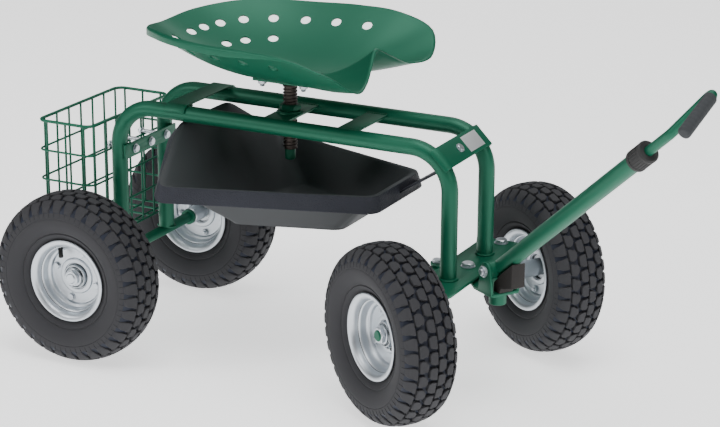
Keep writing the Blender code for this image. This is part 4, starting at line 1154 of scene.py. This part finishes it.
def bar_between(points, radius, steps=10):
    (x0, y0), (x1, y1) = points
    along = Vector((x1 - x0, y1 - y0)).angle_signed(Vector((1, 0)))
    first = arc((x0, y0), radius, along + pi / 2, along + 3 * pi / 2, steps)
    return first + arc((x1, y1), radius, along - pi / 2, along + pi / 2, steps)


def add_knuckles():
    """Each knuckle: a sleeve on its kingpin, the stub axle, the arm to the tie rod, and the nuts."""
    for side, name in ((-1, "right"), (1, "left")):
        place = knuckle_place(name)
        low, high = KNUCKLE_LOW, PLATE_LOW - 0.0005
        mesh = bmesh.new()
        sleeve = sleeve_profile(0.0062, low, high)
        lathe(mesh, sleeve, place, 40, loop=True)
        stub = place @ Matrix.Translation((0, 0, AXLE.z)) @ Matrix.Rotation(-side * pi / 2, 4, "X")
        shoulder = KINGPIN_OFFSET - 0.0365
        end = KINGPIN_OFFSET + HUB_OUTER + 0.0105
        profile = [(0.0120, 0.004), (0.0120, shoulder - 0.0008), (0.0112, shoulder), (0.0080, shoulder)]
        profile += [(0.0080, end - 0.0012), (0.0068, end)]
        lathe(mesh, profile, stub, 36)
        arm = slab(bar_between([(0.0, 0.0), tie_pin(side)], 0.0095), ARM_LOW, ARM_TOP)
        take(mesh, arm, place)
        weld_bead(mesh, place @ Matrix.Translation((0, 0, ARM_TOP + 0.0003)), 0.0128, 0.0014, 20)
        welded = place @ Matrix.Translation((0, side * 0.0125, AXLE.z)) @ Matrix.Rotation(pi / 2, 4, "X")
        weld_bead(mesh, welded, 0.0122, 0.0016, 20)
        body = f"knuckle_{name}"
        painted(f"{name}_knuckle", mesh, body, [body])
        nuts = bmesh.new()
        outward = wheel_place(f"front_{name}") @ ALONG_Y
        axle_nut_mesh(nuts, outward, 0)
        x, y = tie_pin(side)
        tie_bolt(nuts, place @ Matrix.Translation((x, y, 0)))
        nodes = [f"axle_nut_front_{name}", f"tie_rod_outer_bolt_{name}"]
        plated(f"{name}_knuckle_nuts", nuts, body, nodes)


def tie_bolt(mesh, place):
    add_bolt(mesh, place, 0.0040, 0.0070, ARM_LOW - 0.0043, ARM_TOP + 0.0003, 0.0045)


def add_tie_rods():
    for side, name in ((-1, "right"), (1, "left")):
        low, high = ARM_LOW - 0.0040, ARM_LOW - 0.0005
        start = Vector((*joint(f"tie_rod_{name}_turn")["pos_m"][:2], 0))
        reach = side * abs(knuckle_place(name).translation.y - STEERING.translation.y)
        mesh = bmesh.new()
        bar = slab(bar_between([(0, 0), (0, reach)], 0.0070), low, high, 0.0006)
        take(mesh, bar, Matrix.Translation(start))
        body = f"tie_rod_{name}"
        painted(f"{name}_tie_bar", mesh, body, [body])


def add_steering_arm():
    """The flat arm with its boss, nose sleeve and ears, its bolts and the handle's rubber block."""
    half, waist, nose = 0.024, 0.016, HANDLE_REACH + 0.018
    outline = arc((-TIE_RADIUS, TIE_HALF_GAP), 0.010, pi / 2, pi, 6)
    outline += [(x, -y) for x, y in reversed(outline)]
    right = [(-0.030, -waist), (0.030, -waist), (0.052, -half), (nose - 0.003, -half), (nose, -half + 0.003)]
    outline += right + [(x, -y) for x, y in reversed(right)]
    mesh = bmesh.new()
    take(mesh, slab(outline, ARM_LOW, ARM_TOP), STEERING)
    boss = [(0.0060, ARM_TOP - 0.002), (0.0180, ARM_TOP - 0.002), (0.0180, PLATE_LOW - 0.0010)]
    boss += [(0.0174, PLATE_LOW - 0.0005), (0.0060, PLATE_LOW - 0.0005)]
    lathe(mesh, boss, STEERING, 48, loop=True)
    stub = STEERING @ Matrix.Translation((HANDLE_REACH - 0.002, 0, 0))
    top = ARM_LOW + 0.001
    sleeve = [(0.0092, 0.1470), (0.0119, 0.1470), (0.0125, 0.1476), (0.0125, top), (0.0092, top)]
    lathe(mesh, sleeve, stub, 44, loop=True)
    weld_bead(mesh, stub @ Matrix.Translation((0, 0, ARM_LOW - 0.0004)), 0.0126, 0.0015, 22)
    inner, thick, foot = 0.0200, 0.0040, 0.017
    outline = [(-foot, ARM_TOP - 0.003), (foot, ARM_TOP - 0.003)]
    outline += arc((0, HANDLE_PIVOT_Z), 0.0125, 0, pi, 20)
    for side in (-1, 1):
        low, high = sorted((side * inner, side * (inner + thick)))
        ear = slab(outline, -high, -low, 0.0007)
        upright = STEERING @ Matrix.Translation((HANDLE_REACH, 0, 0)) @ Matrix.Rotation(pi / 2, 4, "X")
        take(mesh, ear, upright)
        for k in range(8):
            x = HANDLE_REACH - foot + (k + 0.5) * foot / 4
            place = STEERING @ Matrix.Translation((x, side * inner, ARM_TOP + 0.0004))
            lathe(mesh, [(0.0004, -0.0012), (0.0023, -0.0004), (0.0020, 0.0010), (0.0004, 0.0015)], place, 10)
    painted("steering_plate", mesh, "steering", ["steering_arm"])
    bolts = bmesh.new()
    for side in (-1, 1):
        x, y = tie_pin(side)
        tie_bolt(bolts, STEERING @ Matrix.Translation((x, y, 0)))
    ear = inner + thick + 0.0003
    pivot = Matrix.Translation((HANDLE_REACH, 0, HANDLE_PIVOT_Z))
    across = STEERING @ pivot @ ALONG_Y
    add_bolt(bolts, across, 0.0050, 0.0085, -ear, ear, 0.005)
    nodes = ["tie_rod_inner_bolt_left", "tie_rod_inner_bolt_right", "handle_pivot_bolt"]
    plated("steering_bolts", bolts, "steering", nodes)
    eased_copy("handle_bumper", "rubber_bumper", "steering", "bumper_rubber", 0.0012)


# ---------------------------------------------------------------- handle
def add_handle():
    """The handle's tube with its cross sleeve, the ribbed collar, the bent rod and the foam grip."""
    start, end = 0.004, 0.398
    along = HANDLE @ Matrix.Rotation(pi / 2, 4, "Y")
    mesh = bmesh.new()
    profile = [(0.0100, start), (0.0114, start), (TUBE_RADIUS, start + 0.0007), (TUBE_RADIUS, end - 0.0007)]
    profile += [(0.0114, end), (0.0100, end)]
    lathe(mesh, profile, along, 48)
    half = 0.0195
    lathe(mesh, sleeve_profile(0.0057, -half, half), HANDLE @ ALONG_Y, 44, loop=True)
    painted("pulling_tube", mesh, "handle", ["handle_tube"])

    low = end - 0.0192
    high = low + 0.032
    collar = bmesh.new()
    band, waist, bore, step = 0.0155, 0.0146, 0.0072, 0.0123
    profile = [(step, low), (0.0148, low), (band, low + 0.0008), (band, low + 0.0048)]
    profile += [(waist, low + 0.0056), (waist, high - 0.0060), (band, high - 0.0052)]
    profile += [(band, high - 0.0022), (0.0135, high), (bore, high), (bore, end + FIT), (step, end + FIT)]
    lathe(collar, profile, along, 48, loop=True)
    rib = bmesh.new()
    start, stop, half = low + 0.0050, high - 0.0055, 0.0007
    outline = [(start, -half), (stop, -half), (stop, half), (start, half)]
    skin(rib, [[Vector((side, x, height)) for x, side in outline] for height in (0.0140, 0.01535)])
    bmesh.ops.recalc_face_normals(rib, faces=rib.faces)
    rounded(rib, 0.0003, 1)
    absorb(collar, placed_ring(rib, 24, "black_plastic", HANDLE @ Matrix.Rotation(-pi / 2, 4, "Z")))
    piece("ribbed_collar", collar, ["black_plastic"], "handle_collar", ["handle_collar"])

    bend = [(0.148, 0), (0.462, 0), (0.535, 0.0455), (0.535, -0.0425)]
    path = [ROD @ Vector((x, y, 0)) for x, y in bend]
    rod = swept([(path, False)], GREEN, 0.0067, 0.013, 28, 12)
    painted("grip_rod", rod, "handle_rod", ["handle_rod"])
    grip = bmesh.new()
    sleeve = [(0.0040, -0.0480), (0.0066, -0.0479), (0.0080, -0.0468), (0.0085, -0.0450)]
    for i in range(9):
        y = -0.0420 + 0.0072 * i
        sleeve += [(0.0085, y - 0.0010), (0.0082, y), (0.0085, y + 0.0010)]
    sleeve += [(0.0085, 0.0225), (0.0080, 0.0238), (0.0068, 0.0240)]
    lathe(grip, sleeve, ROD @ Matrix.Translation((0.535, 0, 0)) @ ALONG_Y, 40)
    piece("foam_grip", grip, ["grip_foam"], "handle_rod", ["handle_grip"])


# ---------------------------------------------------------------- seat
SEAT_EDGE = (  # angle from the front in degrees, radius, height of the rim over the pan's bottom
    (0, 0.138, 0.0550),
    (12, 0.149, 0.0405),
    (24, 0.172, 0.0225),
    (36, 0.206, 0.0230),
    (48, 0.220, 0.0520),
    (62, 0.194, 0.0700),
    (80, 0.171, 0.0740),
    (105, 0.166, 0.0730),
    (140, 0.190, 0.0730),
    (162, 0.209, 0.0650),
    (180, 0.215, 0.0570),
)
UPPER_HOLES = (70, 89, 109, 128, 144, 156, 165, 173)  # degrees from the front, on each side
LOWER_HOLES = (131, 150, 163)
SEAT_FLOOR = 0.4265


def seat_point(angle, share):
    turn = abs((angle + pi) % (2 * pi) - pi)
    radius = smooth_between(SEAT_EDGE, degrees(turn), 1)
    rise = smooth_between(SEAT_EDGE, degrees(turn), 2)
    reach = radius * share
    return Vector((reach * cos(angle), reach * sin(angle), SEAT_FLOOR + rise * share**2.3))


def seat_normal(angle, share):
    step = 0.01
    across = seat_point(angle + step, share) - seat_point(angle - step, share)
    outward = seat_point(angle, share + step) - seat_point(angle, share - step)
    return outward.cross(across).normalized()


def seat_lip(angle):
    """How far the rolled edge hangs down: full at the back and the sides, next to nothing in front."""
    turn = abs((angle + pi) % (2 * pi) - pi)
    share = min(max((turn - radians(55)) / radians(40), 0.0), 1.0)
    return 0.0025 + 0.0095 * share * share * (3 - 2 * share)


def hole_centres():
    """A mesh of points, one for each hole, with the direction of its punch."""
    mesh = bpy.data.meshes.new("hole centres")
    spots = [(radians(a), 0.845) for a in UPPER_HOLES] + [(radians(a), 0.645) for a in LOWER_HOLES]
    spots += [(-angle, share) for angle, share in spots]
    mesh.from_pydata([SEAT @ seat_point(*spot) for spot in spots], [], [])
    aim = mesh.attributes.new("aim", "FLOAT_VECTOR", "POINT")
    for i, spot in enumerate(spots):
        aim.data[i].vector = seat_normal(*spot)
    centres = bpy.data.objects.new("hole centres", mesh)
    bpy.context.scene.collection.objects.link(centres)
    return centres


def add_seat_pan():
    """The pressed pan with its rolled edge and its two rows of punched holes."""
    sizes = bpy.context.scene.cart_sizes
    sheet = sizes.seat_sheet
    around, shares = 144, [0.02, 0.1, 0.2, 0.3, 0.4] + [0.45 + 0.05 * i for i in range(11)] + [0.985]
    angles = [2 * pi * i / around for i in range(around)]
    top = [[seat_point(a, s) for a in angles] for s in shares]
    rim = [seat_point(a, 1.0) for a in angles]

    def edge(out, down):
        ring = []
        for angle, point in zip(angles, rim):
            outward = Vector((cos(angle), sin(angle), 0))
            ring.append(point + outward * out - UP * down(0.97 * seat_lip(angle)))
        return ring

    def rolled(width, start, share):
        """One ring of the quarter turn from the pan into the lip, that starts some way under the rim."""
        turn = share * pi / 2
        return edge(width * sin(turn), lambda hang: start + (1 - cos(turn)) * min(width, 0.9 * hang - start))

    roll = 0.0045
    outer = [rolled(roll, 0.0, k / 5) for k in range(6)] + [edge(roll, lambda hang: hang)]
    inner = [edge(roll - sheet, lambda hang: hang)]
    inner += [rolled(roll - sheet, sheet, k / 3) for k in (3, 2, 1, 0)]
    below = []
    for share in reversed(shares):
        below.append([seat_point(a, share) - seat_normal(a, max(share, 0.1)) * sheet for a in angles])
    mesh = bmesh.new()
    skin(mesh, [[SEAT @ point for point in ring] for ring in top + outer + inner + below])
    bmesh.ops.recalc_face_normals(mesh, faces=mesh.faces)
    centres = hole_centres()
    data = through_tree(
        "Punched holes",
        mesh,
        GREEN,
        hole_centres=centres,
        hole_radius=sizes.seat_hole,
        punch_length=0.016,
    )
    bpy.data.objects.remove(centres)
    painted("pressed_seat", data, "seat", ["seat_pan"], 40)


def add_seat_post():
    """The bracket with its bolts, the screw with its thread, the nut it turns in and its end cap."""
    sizes = bpy.context.scene.cart_sizes
    low, high = (corner.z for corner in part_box("seat_bracket"))
    mesh = bmesh.new()
    outline = [(-0.045, -0.032), (0.045, -0.032), (0.045, 0.032), (-0.045, 0.032)]
    take(mesh, slab(outline, low + 0.0045, high, 0.0008), SEAT)
    top = low + 0.0050
    collar = [(0.0100, low), (0.0190, low), (0.0205, low + 0.0015), (0.0205, top), (0.0100, top)]
    lathe(mesh, collar, SEAT, 48, loop=True)
    painted("seat_bracket_plate", mesh, "seat", ["seat_bracket"])
    bolts = bmesh.new()
    for x in (-0.034, 0.034):
        for y in (-0.022, 0.022):
            place = SEAT @ Matrix.Translation((x, y, 0)) @ Matrix.Rotation(0.4, 4, "Z")
            hexagon(bolts, 0.0065, low - 0.0010, low + 0.0045, place)
            threaded(bolts, 0.0036, low - 0.0045, low - 0.0010, place)
            cup = seat_point(0, 0).z
            dome = [(0.0078, -0.0006), (0.0075, 0.0010), (0.0055, 0.0026), (0.0022, 0.0034)]
            lathe(bolts, [(r, cup + h) for r, h in dome], place, 28, 1)
    piece("seat_bolts", bolts, [ZINC, GREEN], "seat")

    screw_low, screw_high = (corner.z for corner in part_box("seat_screw"))
    thread_low = screw_low + 0.0120
    core, crest = 0.0090, 0.0108
    screw = bmesh.new()
    lathe(screw, [(0.0060, screw_low), (0.0060, thread_low)], SEAT, 24)
    lathe(screw, [(core - 0.0008, thread_low), (core, thread_low + 0.0008), (core, screw_high)], SEAT, 48)
    pitch = sizes.thread_pitch
    steps = 28
    turns = (screw_high - thread_low - 0.004) / pitch
    rings = []
    for i in range(int(turns * steps) + 1):
        angle = 2 * pi * i / steps
        z = thread_low + 0.002 + pitch * i / steps
        root = core - 0.0005
        section = ((root, -0.30 * pitch), (crest, -0.13 * pitch), (crest, 0.13 * pitch), (root, 0.30 * pitch))
        rings.append([SEAT @ Vector((r * cos(angle), r * sin(angle), z + h)) for r, h in section])
    skin(screw, rings)
    piece("threaded_post", screw, ["screw_steel"], "seat", ["seat_screw"], 30)

    low, high = (corner.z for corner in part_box("seat_nut"))
    nut = bmesh.new()
    top = low + 0.0030
    flange = [(0.0113, low), (0.0186, low), (0.0190, low + 0.0006), (0.0186, top), (0.0113, top)]
    lathe(nut, flange, SEAT, 44, loop=True)
    hexagon(nut, 0.0165, top, high, SEAT @ Matrix.Rotation(0.25, 4, "Z"))
    weld_bead(nut, SEAT @ Matrix.Translation((0, 0, low + 0.0004)), 0.0192, 0.0013, 26)
    painted("post_nut", nut, "frame", ["seat_nut"])

    low, high = (corner.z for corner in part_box("screw_end_cap"))
    cap = bmesh.new()
    profile = [(0.0062, low + 0.0002), (0.0066, low), (0.0076, low + 0.0010), (0.0078, low + 0.0020)]
    profile += [(0.0078, high - 0.0008), (0.0072, high), (0.0062, high)]
    lathe(cap, profile, SEAT, 36)
    painted("post_end_cap", cap, "seat_screw_foot", ["screw_end_cap"])


# ---------------------------------------------------------------- stage
def soft_light(name, at, aim, size, power, colour=(1, 1, 1)):
    data = bpy.data.lights.new(name, "AREA")
    data.shape = "RECTANGLE"
    data.size, data.size_y = size
    data.energy = power
    data.color = colour
    light = bpy.data.objects.new(name, data)
    bpy.context.scene.collection.objects.link(light)
    light.location = at
    light.rotation_euler = (Vector(aim) - Vector(at)).to_track_quat("-Z", "Y").to_euler()


def set_world():
    """A pale sky, bright overhead and greyer round the horizon, for soft reflections in the metal."""
    world = bpy.data.worlds.new("studio")
    bpy.context.scene.world = world
    world.use_nodes = True
    group = world.node_tree
    back = group.nodes["Background"]
    where = add_node(group, "ShaderNodeTexCoord")
    parts = add_node(group, "ShaderNodeSeparateXYZ", {"Vector": where.outputs["Generated"]})
    ramp = add_node(group, "ShaderNodeValToRGB")
    inputs = {"Value": parts.outputs["Z"], "From Min": -1.0, "From Max": 1.0}
    spread = add_node(group, "ShaderNodeMapRange", inputs)
    group.links.new(spread.outputs[0], ramp.inputs[0])
    ramp.color_ramp.elements[0].color = (0.55, 0.57, 0.60, 1)
    ramp.color_ramp.elements[1].color = (1.0, 1.0, 1.0, 1)
    for position, value in ((0.50, 0.30), (0.54, 0.08), (0.80, 0.14), (0.90, 0.85)):
        ramp.color_ramp.elements.new(position).color = (value, value * 1.01, value * 1.03, 1)
    group.links.new(ramp.outputs[0], back.inputs["Color"])
    back.inputs["Strength"].default_value = 0.7


CAMERA_AT = Vector((1.7719, -2.7598, 1.2306))  # from the rear axle's middle, on the ground
CAMERA_AZIMUTH = radians(26.803)
CAMERA_TILT = radians(17.909)
CAMERA_ROLL = radians(0.3755)


def add_camera():
    data = bpy.data.cameras.new("view")
    data.lens, data.sensor_width = 111.12, 36.0
    camera = bpy.data.objects.new("view", data)
    bpy.context.scene.collection.objects.link(camera)
    level = cos(CAMERA_TILT)
    ahead = Vector((-sin(CAMERA_AZIMUTH) * level, cos(CAMERA_AZIMUTH) * level, -sin(CAMERA_TILT)))
    right = Vector((cos(CAMERA_AZIMUTH), sin(CAMERA_AZIMUTH), 0))
    above = right.cross(ahead)
    rolled = right * cos(CAMERA_ROLL) + above * sin(CAMERA_ROLL)
    camera.matrix_world = axes(CART @ CAMERA_AT, rolled, (-ahead).cross(rolled))
    bpy.context.scene.camera = camera


def add_stage():
    mesh = bmesh.new()
    angles = [2 * pi * i / 64 for i in range(64)]
    rows = skin(mesh, [[Vector((r * cos(a), r * sin(a), -0.0004)) for a in angles] for r in (0.02, 6.0)], caps=False)
    mesh.faces.new(rows[0])
    bmesh.ops.recalc_face_normals(mesh, faces=mesh.faces)
    data = bpy.data.meshes.new("floor")
    mesh.to_mesh(data)
    mesh.free()
    floor_finish = new_finish("studio_floor", (0.92, 0.92, 0.92), (0.8, 0.9), (1.5, 0.004), depth=0.0)
    shader = floor_finish.node_tree.nodes["Principled BSDF"]
    shader.inputs["Emission Color"].default_value = (1, 1, 1, 1)
    shader.inputs["Emission Strength"].default_value = 1.15
    data.materials.append(floor_finish)
    floor = bpy.data.objects.new("floor", data)
    bpy.context.scene.collection.objects.link(floor)
    set_world()
    target = (0, 0, 0.25)
    soft_light("overhead", (0.3, -0.6, 3.2), target, (2.2, 2.2), 62)
    soft_light("front left", (-2.6, -2.6, 2.2), target, (1.1, 1.1), 40)
    soft_light("right", (3.2, -1.2, 1.7), target, (0.8, 1.6), 24)
    soft_light("behind", (-0.6, 3.0, 2.4), target, (2.4, 1.2), 16)
    add_camera()


# ---------------------------------------------------------------- operators and panel
class CartOperator:
    """Runs its making functions in order"""

    bl_options = {"REGISTER", "UNDO"}
    makers = ()

    def execute(self, context):
        for maker in self.makers:
            maker()
        return {"FINISHED"}


def prepare_workshop():
    make_finishes(bpy.context.scene.cart_colours)
    swept_wire_tree()
    round_the_axle_tree()
    punched_holes_tree()


class CART_OT_workshop(CartOperator, bpy.types.Operator):
    """Make the finishes and the geometry trees"""

    bl_idname = "cart.workshop"
    bl_label = "Finishes and Trees"
    makers = (prepare_workshop,)


class CART_OT_frame(CartOperator, bpy.types.Operator):
    """Make the bent tubes, the rear axle, the straps and plates, and their bolts"""

    bl_idname = "cart.frame"
    bl_label = "Frame"
    makers = (add_bent_tubes, add_axle_bar, add_straps, add_cross_plates, add_frame_bolts)


class CART_OT_basket(CartOperator, bpy.types.Operator):
    """Make the wire basket"""

    bl_idname = "cart.basket"
    bl_label = "Wire Basket"
    makers = (add_basket,)


class CART_OT_tray(CartOperator, bpy.types.Operator):
    """Make the moulded tool tray"""

    bl_idname = "cart.tray"
    bl_label = "Tool Tray"
    makers = (add_tray,)


class CART_OT_wheels(CartOperator, bpy.types.Operator):
    """Make the four wheels and the rear axle's nuts"""

    bl_idname = "cart.wheels"
    bl_label = "Wheels"
    makers = (add_wheels, add_rear_axle_nuts)


class CART_OT_steering(CartOperator, bpy.types.Operator):
    """Make the knuckles, the tie bars and the steering plate"""

    bl_idname = "cart.steering"
    bl_label = "Steering"
    makers = (add_knuckles, add_tie_rods, add_steering_arm)


class CART_OT_handle(CartOperator, bpy.types.Operator):
    """Make the pulling handle"""

    bl_idname = "cart.handle"
    bl_label = "Handle"
    makers = (add_handle,)


class CART_OT_seat(CartOperator, bpy.types.Operator):
    """Make the seat and its screw post"""

    bl_idname = "cart.seat"
    bl_label = "Seat"
    makers = (add_seat_pan, add_seat_post)


class CART_OT_stage(CartOperator, bpy.types.Operator):
    """Make the floor, the lights and the camera"""

    bl_idname = "cart.stage"
    bl_label = "Stage"
    makers = (add_stage,)


OPERATORS = (
    CART_OT_workshop,
    CART_OT_frame,
    CART_OT_basket,
    CART_OT_tray,
    CART_OT_wheels,
    CART_OT_steering,
    CART_OT_handle,
    CART_OT_seat,
    CART_OT_stage,
)


class CART_PT_panel(bpy.types.Panel):
    """Lists the cart's sizes, colours and pieces"""

    bl_label = "Garden Cart"
    bl_space_type = "VIEW_3D"
    bl_region_type = "UI"
    bl_category = "Garden Cart"

    def draw(self, context):
        layout = self.layout
        for group in (context.scene.cart_sizes, context.scene.cart_colours):
            box = layout.box()
            for name in group.__annotations__:
                box.prop(group, name)
        for operator in OPERATORS:
            layout.operator(operator.bl_idname)


CLASSES = (CartSizes, CartColours, *OPERATORS, CART_PT_panel)


def register():
    for row in CLASSES:
        bpy.utils.register_class(row)
    bpy.types.Scene.cart_sizes = PointerProperty(type=CartSizes)
    bpy.types.Scene.cart_colours = PointerProperty(type=CartColours)


def unregister():
    del bpy.types.Scene.cart_colours
    del bpy.types.Scene.cart_sizes
    for row in reversed(CLASSES):
        bpy.utils.unregister_class(row)


def main():
    register()
    for operator in OPERATORS:
        getattr(bpy.ops.cart, operator.bl_idname.split(".")[1])()


if __name__ == "__main__":
    main()
